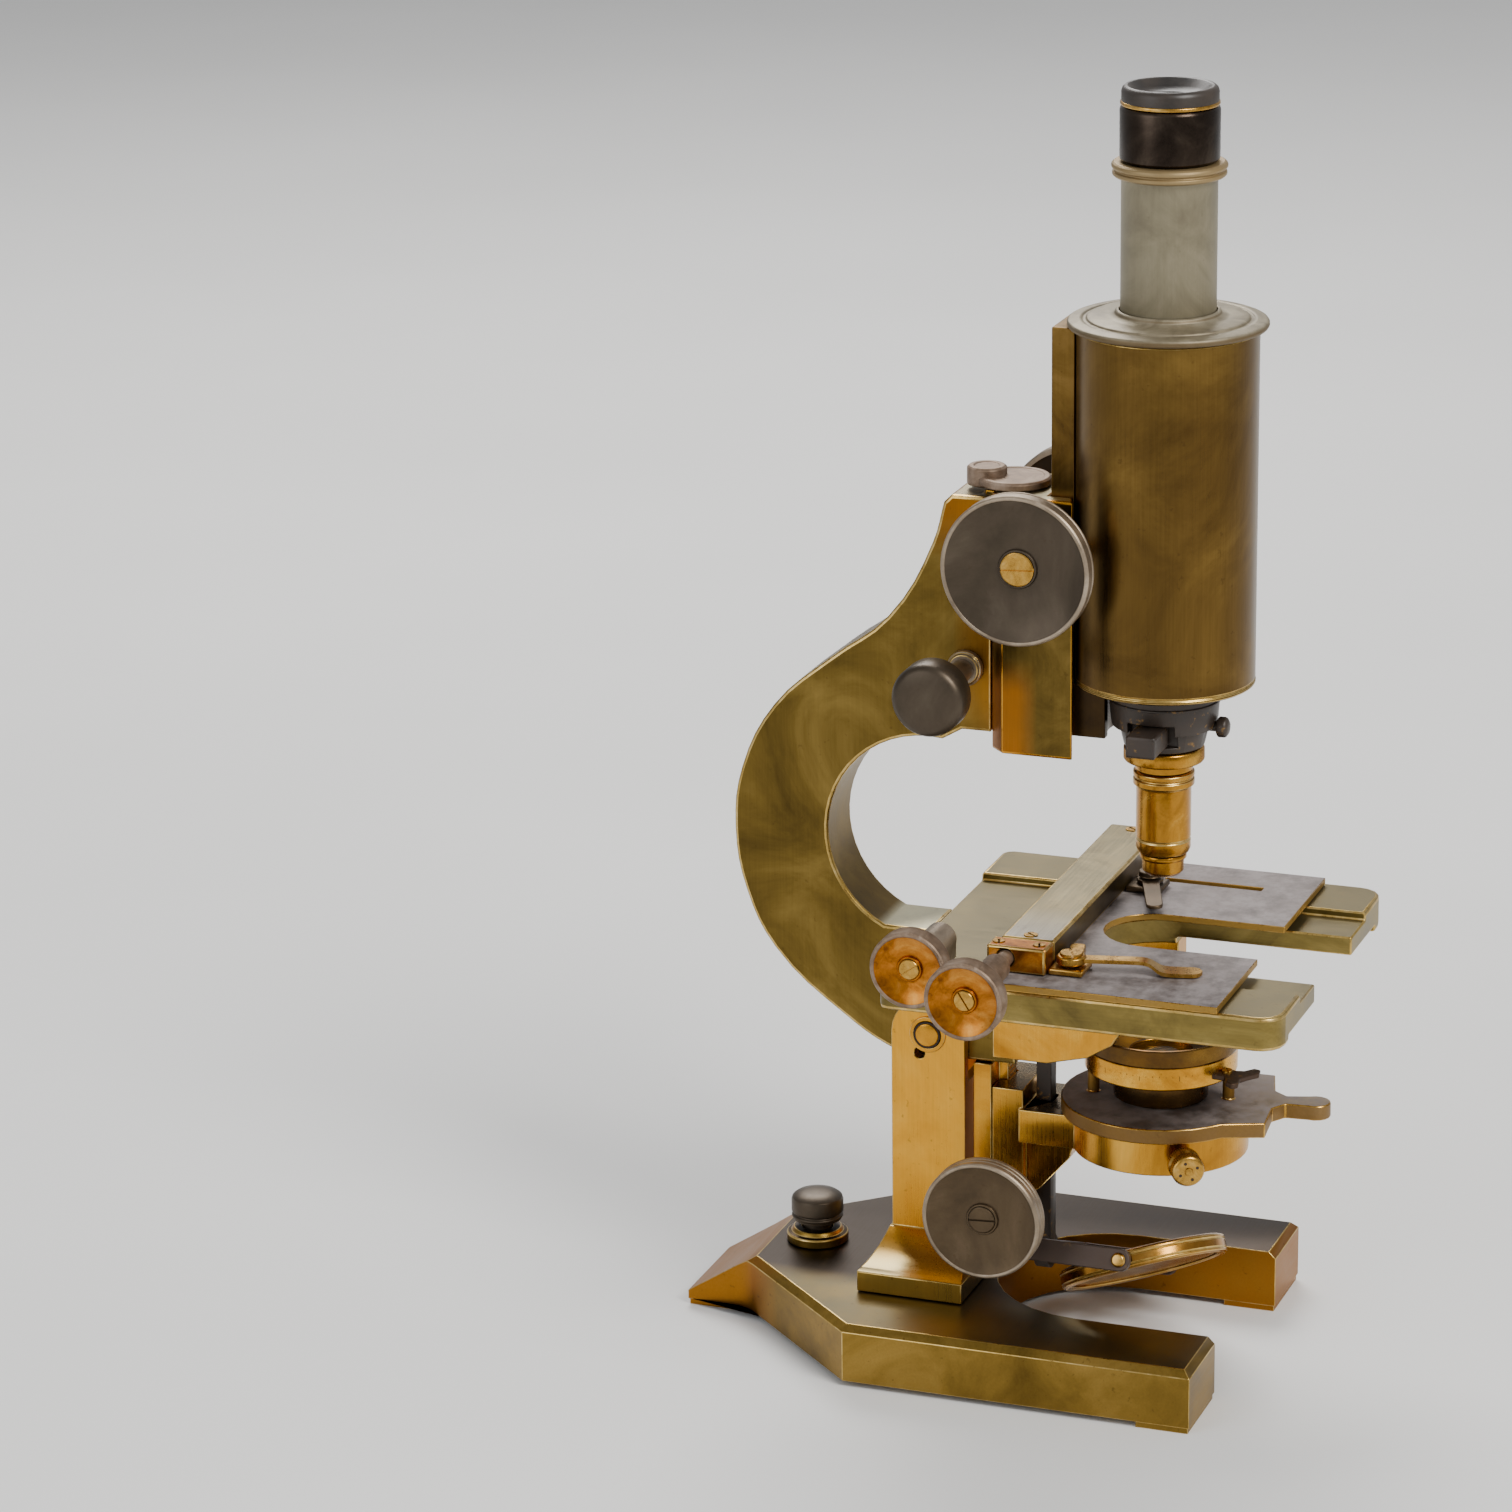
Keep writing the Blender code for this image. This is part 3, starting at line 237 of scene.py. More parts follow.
def lens(name, tint):
    """Clear polished glass with a faint film."""
    nodes = Nodes(name)
    nodes.shader.inputs["IOR"].default_value = 1.52
    nodes.shader.inputs["Transmission Weight"].default_value = 0.9
    film = nodes.noise(300.0, 4.0)
    colour = nodes.ramp(film, [(0.3, tint), (0.7, srgb(250, 252, 250))])
    nodes.feed(nodes.shader.inputs["Base Color"], colour)
    nodes.feed(nodes.shader.inputs["Roughness"], nodes.span(film, 0.3, 0.7, 0.02, 0.09))
    return nodes.material


def silvering(name):
    """A silvered glass with a few foxed spots near its edge."""
    nodes = Nodes(name)
    spots = nodes.span(nodes.noise(320.0, 5.0, 0.7), 0.62, 0.72, 0.0, 0.8)
    colour = nodes.mix(spots, srgb(226, 228, 226), srgb(120, 105, 84))
    nodes.feed(nodes.shader.inputs["Base Color"], colour)
    nodes.feed(nodes.shader.inputs["Metallic"], nodes.span(spots, 0.0, 1.0, 1.0, 0.4))
    nodes.feed(nodes.shader.inputs["Roughness"], nodes.span(spots, 0.0, 1.0, 0.05, 0.5))
    return nodes.material


ALONG_X = (0.03, 1.0, 1.0)
ALONG_Y = (1.0, 0.03, 1.0)
ALONG_Z = (1.0, 1.0, 0.03)

# Zones of one material: "at" runs between two places in the piece's own frame, and "facing"
# between two shares of its surface's own direction.
# DRAW_RIM is where the draw tube's rim starts, above the tube's foot.
DRAW_RIM = (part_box("draw_tube")[1].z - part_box("draw_tube")[0].z) / MM - 4.4
TOE = ("at", "Y", 70.0, 90.0)
FAR_PRONG = ("at", "X", -18.0, -8.0)
SIDES = [("facing", "Z", 0.5, 0.2)]

LOOKS = {
    "golden": patina("golden_lacquer", srgb(160, 104, 28), srgb(206, 146, 46), srgb(230, 180, 78),
                     (0.18, 0.32), ALONG_Z, 30.0, 0.25, streak=0.15),
    "arm": patina("arm_lacquer", srgb(150, 98, 28), srgb(196, 140, 46), srgb(222, 172, 74),
                  (0.2, 0.34), ALONG_Z, 30.0, 0.25, top=srgb(92, 84, 66), streak=0.12),
    "pillar": patina("pillar_lacquer", srgb(186, 124, 30), srgb(216, 156, 50), srgb(232, 180, 78),
                     (0.24, 0.36), ALONG_Z, 16.0, 0.35, top=srgb(150, 134, 92), streak=0.12,
                     zones=(([("at", "Z", 31.0, 26.0)], srgb(142, 118, 58)),)),
    "foot": patina("foot_lacquer", srgb(100, 78, 34), srgb(136, 108, 48), srgb(164, 132, 66),
                   (0.3, 0.46), ALONG_X, 34.0, 0.4, top=srgb(92, 84, 60), streak=0.15,
                   zones=(([TOE], srgb(140, 94, 38)),
                          ([FAR_PRONG, ("facing", "X", 0.6, 0.3)], srgb(156, 102, 34))),
                   # The far prong's top is painted dark as painted shade, while the near prong's
                   # top keeps the plain top tone.
                   over=(([FAR_PRONG, TOP], srgb(52, 43, 35)),)),
    "olive": patina("olive_patina", srgb(76, 60, 28), srgb(108, 87, 40), srgb(140, 116, 60),
                    (0.3, 0.46), ALONG_Z, 30.0, 0.25, top=srgb(146, 142, 118), streak=0.15,
                    zones=(([("at", "Z", 232.0, 246.0)], srgb(146, 90, 26)),
                           ([("at", "Z", 178.0, 196.0), ("at", "Y", 14.0, 4.0)],
                            srgb(160, 108, 34)))),
    "stage": patina("stage_patina", srgb(92, 78, 38), srgb(126, 108, 54), srgb(158, 138, 78),
                    (0.28, 0.44), ALONG_Y, 40.0, 0.25, top=srgb(106, 95, 62), metallic=0.8,
                    streak=0.2),
    "tube": patina("tube_patina", srgb(76, 56, 28), srgb(104, 80, 40), srgb(134, 106, 54),
                   (0.24, 0.38), ALONG_Z, 22.0, 0.3, streak=0.18),
    "carrier": patina("carrier_patina", srgb(76, 60, 28), srgb(104, 84, 40), srgb(132, 108, 56),
                      (0.26, 0.42), ALONG_Z, 50.0, 0.25, top=srgb(176, 166, 132), streak=0.15,
                      zones=(([("at", "Z", 206.0, 196.0), ("at", "Y", -12.0, -6.0)],
                              srgb(158, 98, 34)),)),
    "slide": patina("slide_lacquer", srgb(84, 62, 30), srgb(112, 86, 42), srgb(140, 110, 60),
                    (0.24, 0.4), ALONG_Z, 50.0, 0.3, streak=0.15,
                    zones=(([("at", "Z", 203.0, 198.0)], srgb(44, 34, 26)),)),
    "bar": patina("bar_brass", srgb(120, 96, 50), srgb(156, 130, 72), srgb(190, 164, 104),
                  (0.26, 0.42), ALONG_X, 60.0, 0.25, top=srgb(136, 125, 92), metallic=0.85,
                  streak=0.35,
                  zones=(([("facing", "Y", -0.6, -0.95)], srgb(74, 58, 30)),),
                  over=(([("at", "X", -2.0, -26.0), TOP], srgb(160, 152, 138)),)),
    "knob": patina("knob_bronze", srgb(56, 48, 38), srgb(76, 66, 54), srgb(98, 87, 74),
                   (0.36, 0.46), None, 24.0, 0.15, metallic=0.8, streak=0.06),
    "brown": patina("brown_bronze", srgb(66, 54, 40), srgb(88, 73, 54), srgb(112, 94, 74),
                    (0.34, 0.46), None, 30.0, 0.2, metallic=0.85, streak=0.08),
    "copper": patina("copper_brass", srgb(116, 66, 24), srgb(176, 108, 34), srgb(206, 146, 66),
                     (0.24, 0.42), None, 130.0, 0.6, streak=0.2),
    "rim": patina("grey_rim", srgb(112, 98, 82), srgb(146, 130, 110), srgb(176, 160, 140),
                  (0.36, 0.5), None, 70.0, 0.2, metallic=0.75, streak=0.12),
    "dusty": patina("dusty_rim", srgb(100, 80, 62), srgb(132, 110, 90), srgb(162, 142, 124),
                    (0.42, 0.6), None, 160.0, 0.35, metallic=0.6, streak=0.2),
    "bright": patina("bright_brass", srgb(152, 112, 46), srgb(190, 146, 68), srgb(220, 182, 108),
                     (0.22, 0.36), None, 140.0, 0.25, streak=0.15),
    # The edge look is partly worn brass and partly a painted highlight along the rounded edges.
    "edge": patina("worn_and_highlit_edge", srgb(168, 136, 70), srgb(200, 168, 96), srgb(226, 198, 134),
                   (0.24, 0.36), None, 160.0, 0.1, streak=0.1),
    "objective": patina("objective_brass", srgb(132, 88, 28), srgb(178, 126, 44),
                        srgb(212, 166, 78), (0.18, 0.32), None, 80.0, 0.25, streak=0.15),
    "nickel": patina("dull_nickel", srgb(114, 106, 86), srgb(133, 125, 102), srgb(152, 143, 120),
                     (0.42, 0.54), ALONG_Z, 50.0, 0.15, metallic=0.6, streak=0.1,
                     zones=(([("at", "Z", DRAW_RIM, DRAW_RIM + 0.6)], srgb(150, 126, 84)),)),
    "head": patina("tube_head_dust", srgb(108, 98, 78), srgb(132, 122, 100), srgb(154, 144, 122),
                   (0.42, 0.56), None, 120.0, 0.2, metallic=0.5, streak=0.1,
                   zones=(([("facing", "Z", 0.6, 0.2)], srgb(96, 78, 48)),)),
    "iris": patina("iris_bronze", srgb(70, 62, 56), srgb(96, 86, 80), srgb(122, 110, 104),
                   (0.42, 0.56), None, 60.0, 0.25, dust=srgb(132, 122, 118), metallic=0.8,
                   streak=0.15,
                   zones=(([("at", "Y", -62.0, -82.0)], srgb(168, 150, 124)),
                          (SIDES, srgb(128, 96, 46)),
                          ([("at", "Z", 77.0, 78.0)], srgb(150, 112, 48)))),
    "condenser": patina("condenser_brass", srgb(160, 104, 28), srgb(206, 146, 46),
                        srgb(230, 180, 78), (0.18, 0.32), None, 60.0, 0.3, streak=0.15,
                        zones=(([("at", "Z", 14.6, 15.4)], srgb(70, 53, 33)),
                               ([("at", "Z", 8.4, 7.8)], srgb(74, 58, 38)))),
    "eyepiece": patina("eyepiece_bronze", srgb(40, 33, 28), srgb(58, 49, 42), srgb(84, 73, 62),
                       (0.24, 0.36), None, 60.0, 0.15, streak=0.12),
    "plate": patina("plate_grey", srgb(66, 58, 54), srgb(90, 82, 78), srgb(118, 108, 104),
                    (0.42, 0.6), None, 60.0, 0.4, dust=srgb(146, 138, 136), metallic=0.7,
                    streak=0.2,
                    zones=((SIDES, srgb(158, 122, 48)),)),
    "dish": patina("mirror_back", srgb(128, 88, 34), srgb(172, 122, 50), srgb(204, 158, 84),
                   (0.14, 0.26), None, 40.0, 0.2, streak=0.08),
    "black": enamel("black_lacquer", srgb(44, 37, 32), srgb(176, 134, 72)),
    "claw": enamel("claw_bronze", srgb(66, 48, 36), srgb(150, 112, 60), 0.32, 0.7, 0.1),
    "fork": enamel("fork_bronze", srgb(74, 62, 56), srgb(150, 118, 74), 0.4, 0.6, 0.05),
    "cap": enamel("black_cap", srgb(22, 21, 20), srgb(60, 54, 48), 0.3, 0.0, 0.05),
    "slot": enamel("slot_shadow", srgb(46, 32, 18), srgb(96, 70, 38), 0.6, 0.3),
    "glass": lens("lens_glass", srgb(206, 220, 216)),
    "mirror": silvering("silvered_glass"),
}


# ---------------------------------------------------------------- shapes

SHARP = 32.0          # edges sharper than this many degrees are rounded
KNURL_SHARP = 50.0    # the same on a knurled piece, whose teeth stay crisp
MERGE = 0.002         # CAD points closer than this are one point
FLAT = 0.6            # CAD faces within this many degrees are one face


def keep(obj, body, slot, *replaced):
    """Hang a finished piece on its body and hide what it stands for. The slot is not used."""
    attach(obj, body)
    if replaced:
        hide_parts(*replaced)
    return obj


def as_node(obj, node):
    """Let a piece stand for a CAD node."""
    return keep(obj, BODY[node], SLOT[node], node)


def on_node(obj, node, slot=None):
    """Hang a detail on a node's body, passing on a slot: the node's own unless it names another.
    """
    return keep(obj, BODY[node], slot or SLOT[node])


def span_of(node, axis):
    """A node's size in millimetres along an axis, 0 to 2 for X to Z."""
    low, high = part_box(node)
    return (high[axis] - low[axis]) / MM


def upright(node):
    """The radius and height in millimetres of a node that is round about Z."""
    return span_of(node, 0) / 2, span_of(node, 2)


def lying(node):
    """The radius and length in millimetres of a node that is round about X."""
    return span_of(node, 2) / 2, span_of(node, 0)


def foot_of(node, direction):
    """The centre of a node's face that looks away from the direction."""
    low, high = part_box(node)
    point = (low + high) / 2
    for axis in range(3):
        if direction[axis] > 0.5:
            point[axis] = low[axis]
        elif direction[axis] < -0.5:
            point[axis] = high[axis]
    return point


def piece(name, bm, *looks):
    """An object from a bmesh, with its looks in its slots."""
    bmesh.ops.recalc_face_normals(bm, faces=bm.faces)
    mesh = bpy.data.meshes.new(name)
    bm.to_mesh(mesh)
    bm.free()
    for look in looks:
        mesh.materials.append(LOOKS[look])
    obj = bpy.data.objects.new(name, mesh)
    bpy.context.scene.collection.objects.link(obj)
    return obj


def smooth(obj, width, segments=2, angle=SHARP, edge_slot=-1):
    """Round the sharp edges. An edge slot gives the rounding its own look, wear and a painted
    highlight.
    """
    if width:
        step = obj.modifiers.new("round", "BEVEL")
        step.width = width * MM
        step.segments = segments
        step.limit_method = "ANGLE"
        step.angle_limit = math.radians(angle)
        step.use_clamp_overlap = False
        step.miter_outer = "MITER_ARC"
        step.material = edge_slot
    obj.data.shade_smooth()
    obj.data.set_sharp_from_angle(angle=math.radians(angle))
    return obj


def refined(node, width, look, edge=None):
    """A CAD solid again, with merged faces, rounded edges and its own look."""
    bm = bmesh.new()
    bm.from_mesh(frame["nodes"][node].data)
    bmesh.ops.remove_doubles(bm, verts=bm.verts, dist=MERGE * MM)
    bmesh.ops.dissolve_limit(bm, angle_limit=math.radians(FLAT), verts=bm.verts, edges=bm.edges)
    looks = (look, edge) if edge else (look,)
    obj = piece(node + "_shape", bm, *looks)
    smooth(obj, width, edge_slot=1 if edge else -1)
    return as_node(obj, node)


def spin(bm, profile, sides, teeth_rows=(), depth=0.0, ring=False):
    """Turn (radius, height) points about Z. Rows in teeth_rows are knurled to that depth."""
    rows = []
    for index, (radius, height) in enumerate(profile):
        if radius == 0:
            rows.append([bm.verts.new((0.0, 0.0, height * MM))])
            continue
        row = []
        for side in range(sides):
            angle = math.tau * side / sides
            reach = radius - (depth if index in teeth_rows and side % 2 else 0.0)
            row.append(bm.verts.new((reach * MM * math.cos(angle), reach * MM * math.sin(angle),
                                     height * MM)))
        rows.append(row)
    pairs = list(zip(rows, rows[1:]))
    if ring:
        pairs.append((rows[-1], rows[0]))
    for upper, lower in pairs:
        for side in range(sides):
            after = (side + 1) % sides
            corners = [upper[side % len(upper)], lower[side % len(lower)]]
            if len(lower) > 1:
                corners.append(lower[after])
            if len(upper) > 1:
                corners.append(upper[after])
            if len(corners) > 2:
                bm.faces.new(corners)


def stand_on(obj, origin, direction, turn=0.0):
    """Put a piece's own origin at a place, with its Z axis along a direction."""
    facing = direction.normalized().to_track_quat("Z", "Y").to_matrix().to_4x4()
    obj.matrix_world = Matrix.Translation(origin) @ facing @ Matrix.Rotation(turn, 4, "Z")
    return obj


def lathe(name, profile, origin, direction, look, sides=96, ring=False, teeth=(), depth=0.0,
          width=0.15, edge=None):
    """A turned piece. Its profile's heights run along the direction from the origin."""
    bm = bmesh.new()
    spin(bm, profile, sides, teeth, depth, ring)
    obj = piece(name, bm, *((look, edge) if edge else (look,)))
    smooth(obj, 0.0 if teeth else width, 2, KNURL_SHARP if teeth else SHARP, 1 if edge else -1)
    return stand_on(obj, origin, direction)


def turned(node, name, profile, direction, look, *how, **more):
    """A turned piece that stands for a node and starts from the node's own foot."""
    origin = foot_of(node, direction)
    return as_node(lathe(name, profile, origin, direction, look, *how, **more), node)


def slotted(name, origin, direction, radius, height, look, turn=0.6, slot=0.9):
    """A cheese-head screw: a disc with two half heads and the slot between them."""
    bm = bmesh.new()
    spin(bm, [(0, height * 0.5), (radius, height * 0.5), (radius, 0), (0, 0)], 40)
    start = math.asin(slot / 2 / radius)
    steps = 16
    for side in (0.0, math.pi):
        arc = [start + (math.pi - 2 * start) * k / steps + side for k in range(steps + 1)]
        rows = []
        for level, share in ((height * 0.45, 1.0), (height * 0.86, 1.0), (height, 0.93)):
            reach = radius * share
            rows.append([bm.verts.new((reach * math.cos(a) * MM, reach * math.sin(a) * MM,
                                       level * MM)) for a in arc])
        bm.faces.new(rows[0])
        bm.faces.new(rows[-1])
        for lower, upper in zip(rows, rows[1:]):
            for k in range(steps + 1):
                after = (k + 1) % (steps + 1)
                bm.faces.new((lower[k], lower[after], upper[after], upper[k]))
    obj = smooth(piece(name, bm, look), 0.0, angle=28.0)
    return stand_on(obj, origin, direction, turn)


def blocks(name, places, sizes, look, width=0.05):
    """Small blocks in one piece, such as rack teeth or engraved lines, one for each matrix."""
    bm = bmesh.new()
    for place in places:
        made = bmesh.ops.create_cube(bm, size=1.0)
        bmesh.ops.scale(bm, vec=[size * MM for size in sizes], verts=made["verts"])
        bmesh.ops.transform(bm, matrix=place, verts=made["verts"])
    return smooth(piece(name, bm, look), width, 1)


def rack(name, node, face, margin, wide):
    """Rack teeth up a node's face, which is a place in Y, from a margin above its foot."""
    low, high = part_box(node)
    pitch = 1.6
    count = int(((high.z - low.z) / MM - margin - 1.0) / pitch)
    middle = (low.x + high.x) / 2
    teeth = [Matrix.Translation((middle, face, low.z + (margin + k * pitch) * MM))
             for k in range(count)]
    on_node(blocks(name, teeth, (wide, 0.5, 0.8), "bright"), node)


def top_screws(node, radius, turn, places):
    """Small slotted screws in a node's top, each at a share of the way along X and Y."""
    low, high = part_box(node)
    for name, share_x, share_y in places:
        place = Vector((low.x + (high.x - low.x) * share_x, low.y + (high.y - low.y) * share_y,
                        high.z - 0.3 * MM))
        on_node(slotted(name, place, UP, radius, 0.6, "bright", turn, 0.6), node, "bright_brass")


def slab(name, outline, thickness, look, width=0.2):
    """A flat outline in (x, y), in millimetres, given thickness upwards."""
    bm = bmesh.new()
    rows = [[bm.verts.new((x * MM, y * MM, z * MM)) for x, y in outline]
            for z in (0.0, thickness)]
    for row in rows:
        bm.faces.new(row)
    for k in range(len(outline)):
        after = (k + 1) % len(outline)
        bm.faces.new((rows[0][k], rows[0][after], rows[1][after], rows[1][k]))
    return smooth(piece(name, bm, look), width)


# ---------------------------------------------------------------- the stand and the limb

def foot_and_pillar():
    refined("foot", 0.18, "foot", "edge")
    refined("pillar", 0.3, "pillar", "edge")
    collar = [(4.6, 4.0), (6.9, 4.0), (7.4, 3.4), (7.6, 2.9), (8.8, 2.5), (9.0, 2.2), (9.0, 0.0),
              (4.6, 0.0)]
    turned("toe_stop_collar", "toe_stop_ring", collar, UP, "foot", ring=True, edge="edge")
    tall = span_of("toe_stop_screw", 2)
    cap = [(0, tall), (3.5, tall - 0.15), (6.2, tall - 0.7), (7.3, tall - 1.5),
           (7.6, tall - 2.4), (7.6, 6.6), (7.0, 6.3), (7.0, 5.9), (7.5, 5.6), (7.6, 5.2),
           (7.5, 4.9), (7.0, 4.7), (7.0, 4.0), (4.2, 4.0), (4.2, 0.0), (0, 0.0)]
    turned("toe_stop_screw", "toe_stop_cap", cap, UP, "knob")


def pivot_pin():
    """The inclination pin, with a washer, a raised disc and a dark groove at each end."""
    node = "inclination_pin"
    radius = span_of(node, 2) / 2
    refined(node, 0.2, "bright")
    washer = [(radius + 0.1, 0.25), (radius + 1.3, 0.25), (radius + 1.5, -0.5),
              (radius + 0.1, -0.5)]
    disc = [(0, 0.45), (radius - 0.9, 0.45), (radius - 0.6, 0.3), (radius - 0.6, 0.0), (0, 0.0)]
    groove = [(radius - 0.6, 0.12), (radius - 0.1, 0.12), (radius - 0.1, -0.1),
              (radius - 0.6, -0.1)]
    for side, direction in (("near", NEAR), ("far", FAR)):
        face = foot_of(node, -direction)
        on_node(lathe("pin_washer_" + side, washer, face - direction * 0.3 * MM, direction,
                      "golden", ring=True, edge="edge"), node, "bright_brass")
        on_node(lathe("pin_head_" + side, disc, face, direction, "golden", 64), node,
                "bright_brass")
        on_node(lathe("pin_groove_" + side, groove, face, direction, "slot", 64, True,
                      width=0.0), node, "black_enamel")


def limb():
    refined("limb", 0.45, "olive", "edge")
    refined("stage_bracket", 0.35, "golden", "edge")
    refined("substage_rail", 0.25, "golden", "edge")
    refined("mirror_bar", 0.2, "black")


# ---------------------------------------------------------------- focusing and the knobs

def carrier():
    refined("fine_carrier", 0.35, "carrier", "golden")
    for node in ("carrier_cap_large", "carrier_cap_small"):
        radius, tall = upright(node)
        profile = [(0, tall - 0.25), (radius - 2.2, tall - 0.25), (radius - 1.9, tall),
                   (radius - 0.7, tall), (radius, tall - 0.6), (radius, 0.3),
                   (radius - 0.3, 0.0), (0, 0.0)]
        turned(node, node + "_turned", profile, UP, "dusty")


KNOB_THICK = 6.5      # a knob at its rim
KNOB_LIP = 1.3        # the rim's width round the hollow face
MIDDLE_DEPTH = 0.86   # how deep the hollow is in its middle, as a share of its full depth
BOWL_FLOOR = 0.3      # the share of the hollow's radius that is its floor


def hollow_at(share, depth):
    """The depth of a knob's hollow face at a share of its radius."""
    swell = math.sin(math.pi * min(share / 0.5, 1.0))
    hollow = depth * (MIDDLE_DEPTH + (1 - MIDDLE_DEPTH) * swell)
    if share >= BOWL_FLOOR:
        hollow *= math.cos((share - BOWL_FLOOR) / (1 - BOWL_FLOOR) * math.pi / 2) ** 0.8
    return hollow


def dished_knob(node, direction, depth, screw, looks, turn, grooves=()):
    """A knob with a hollow face, a plain rim and a slotted screw. Returns its rear centre.

    Grooves run round the rim, each at a share of its thickness.
    """
    look, rim_look, screw_look = looks
    radius, across = lying(node)
    thick = min(across, KNOB_THICK)
    origin = foot_of(node, -direction) - direction * thick * MM
    lip = radius - KNOB_LIP
    steps = 11
    bowl = [(0, thick - depth * MIDDLE_DEPTH)]
    for step in range(1, steps):
        bowl.append((lip * step / steps, thick - hollow_at(step / steps, depth) - 0.1))
    bowl += [(lip, thick - 0.12), (lip, 0.6), (0, 0.6)]
    as_node(lathe(node + "_face", bowl, origin, direction, look, 128, width=0.0), node)
    rim = [(lip - 0.1, thick - 0.3), (lip + 0.25, thick - 0.02), (radius - 0.5, thick),
           (radius, thick - 0.5)]
    for place in grooves:
        middle = thick * place
        rim += [(radius, middle + 0.45), (radius - 0.35, middle + 0.15),
                (radius - 0.35, middle - 0.15), (radius, middle - 0.45)]
    rim += [(radius, 0.8), (radius - 0.4, 0.2), (radius - 1.6, 0.0), (lip - 0.1, 0.0)]
    on_node(lathe(node + "_rim", rim, origin, direction, rim_look, 128, True, width=0.12), node)
    seat = thick - depth - 0.2
    ring = [(screw, seat + 0.9), (screw + 0.45, seat + 0.9), (screw + 0.7, seat + 0.5),
            (screw + 0.7, seat - 0.2), (screw, seat - 0.2)]
    on_node(lathe(node + "_ring", ring, origin, direction, look, 72, True, width=0.08), node)
    on_node(slotted(node + "_screw", origin + direction * seat * MM, direction, screw - 0.12,
                    1.35, screw_look, turn, screw * 0.17), node)
    return origin


def sleeve(node, origin, direction, steps, look):
    """The stepped neck between a knob and its bearing, as (length along, radius) steps."""
    profile = [(radius, -along) for along, radius in steps]
    profile = [(0, profile[0][1])] + profile + [(0, profile[-1][1])]
    on_node(lathe(node + "_sleeve", profile, origin, direction, look, 64), node)


def knobs():
    coarse = ("knob", "rim", "bright")
    dished_knob("coarse_knob_near", NEAR, 3.4, 4.9, coarse, 0.05, (0.3,))
    dished_knob("coarse_knob_far", FAR, 3.4, 4.9, coarse, 0.7, (0.3,))
    dished_knob("substage_knob", NEAR, 2.2, 4.0, ("brown", "rim", "brown"), 0.06, (0.62, 0.34))
    small = ("copper", "dusty", "bright")
    for node, turn, reach, neck, thin, shoulder in (
            ("stage_x_knob", -1.0, 44.3, 3.9, 2.3, 24.0),
            ("stage_y_knob", 0.6, 31.0, 3.6, 2.6, 3.0)):
        origin = dished_knob(node, NEAR, 2.3, 3.0, small, turn)
        steps = [(0.0, neck + 1.0), (0.8, neck + 0.9), (1.4, neck), (shoulder - 0.6, neck),
                 (shoulder, neck - 0.5), (shoulder, thin), (reach - KNOB_THICK, thin)]
        sleeve(node, origin, NEAR, steps, "dusty")


def fine_drive():
    radius, long = lying("fine_focus_knob")
    knob = [(0, long), (radius * 0.5, long - 0.1), (radius * 0.8, long - 0.5),
            (radius * 0.93, long - 1.2), (radius, long - 2.4), (radius, 2.6),
            (radius - 0.5, 1.4), (radius - 1.8, 0.5), (5.0, 0.0), (0, 0.0)]
    turned("fine_focus_knob", "fine_knob_turned", knob, NEAR, "knob")
    refined("fine_focus_spindle", 0.2, "rim")
    radius, _ = lying("fine_focus_collar")
    collar = [(2.8, 3.0), (radius - 0.9, 3.0), (radius - 0.5, 2.2), (radius, 1.9),
              (radius, 0.0), (2.8, 0.0)]
    turned("fine_focus_collar", "fine_collar_turned", collar, NEAR, "rim", ring=True,
           edge="edge")


# ---------------------------------------------------------------- the tube

def body_tube():
    radius, tall = upright("body_tube")
    tube = [(radius - 1.8, tall), (radius - 0.3, tall), (radius, tall - 0.3), (radius, 1.9),
            (radius - 0.25, 1.7), (radius - 0.25, 1.3), (radius + 0.1, 1.1),
            (radius + 0.1, 0.5), (radius - 0.5, 0.0), (9.0, 0.0), (9.0, 2.5),
            (radius - 1.8, 2.5)]
    turned("body_tube", "body_tube_turned", tube, UP, "tube", 128, True, edge="edge")
    radius, tall = upright("tube_head")
    head = [(13.4, tall), (13.9, tall), (14.3, tall - 0.3), (14.6, tall - 1.1),
            (15.4, tall - 1.7), (16.8, tall - 1.9), (21.4, tall - 1.9), (22.1, tall - 2.2),
            (22.4, tall - 2.7), (23.2, tall - 2.8), (23.6, tall - 2.5), (24.4, tall - 2.4),
            (25.2, tall - 2.7), (26.4, tall - 2.7), (radius - 0.3, tall - 3.0),
            (radius, tall - 3.5), (radius, tall - 4.2), (radius - 0.4, tall - 4.8),
            (radius - 1.2, tall - 5.0), (15.6, tall - 5.0), (15.6, 0.0), (13.4, 0.0)]
    turned("tube_head", "tube_head_turned", head, UP, "head", 128, True)
    refined("tube_slide", 0.3, "slide")
    rack("tube_rack", "tube_slide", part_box("tube_slide")[1].y + 0.1 * MM, 3.0, 5.0)


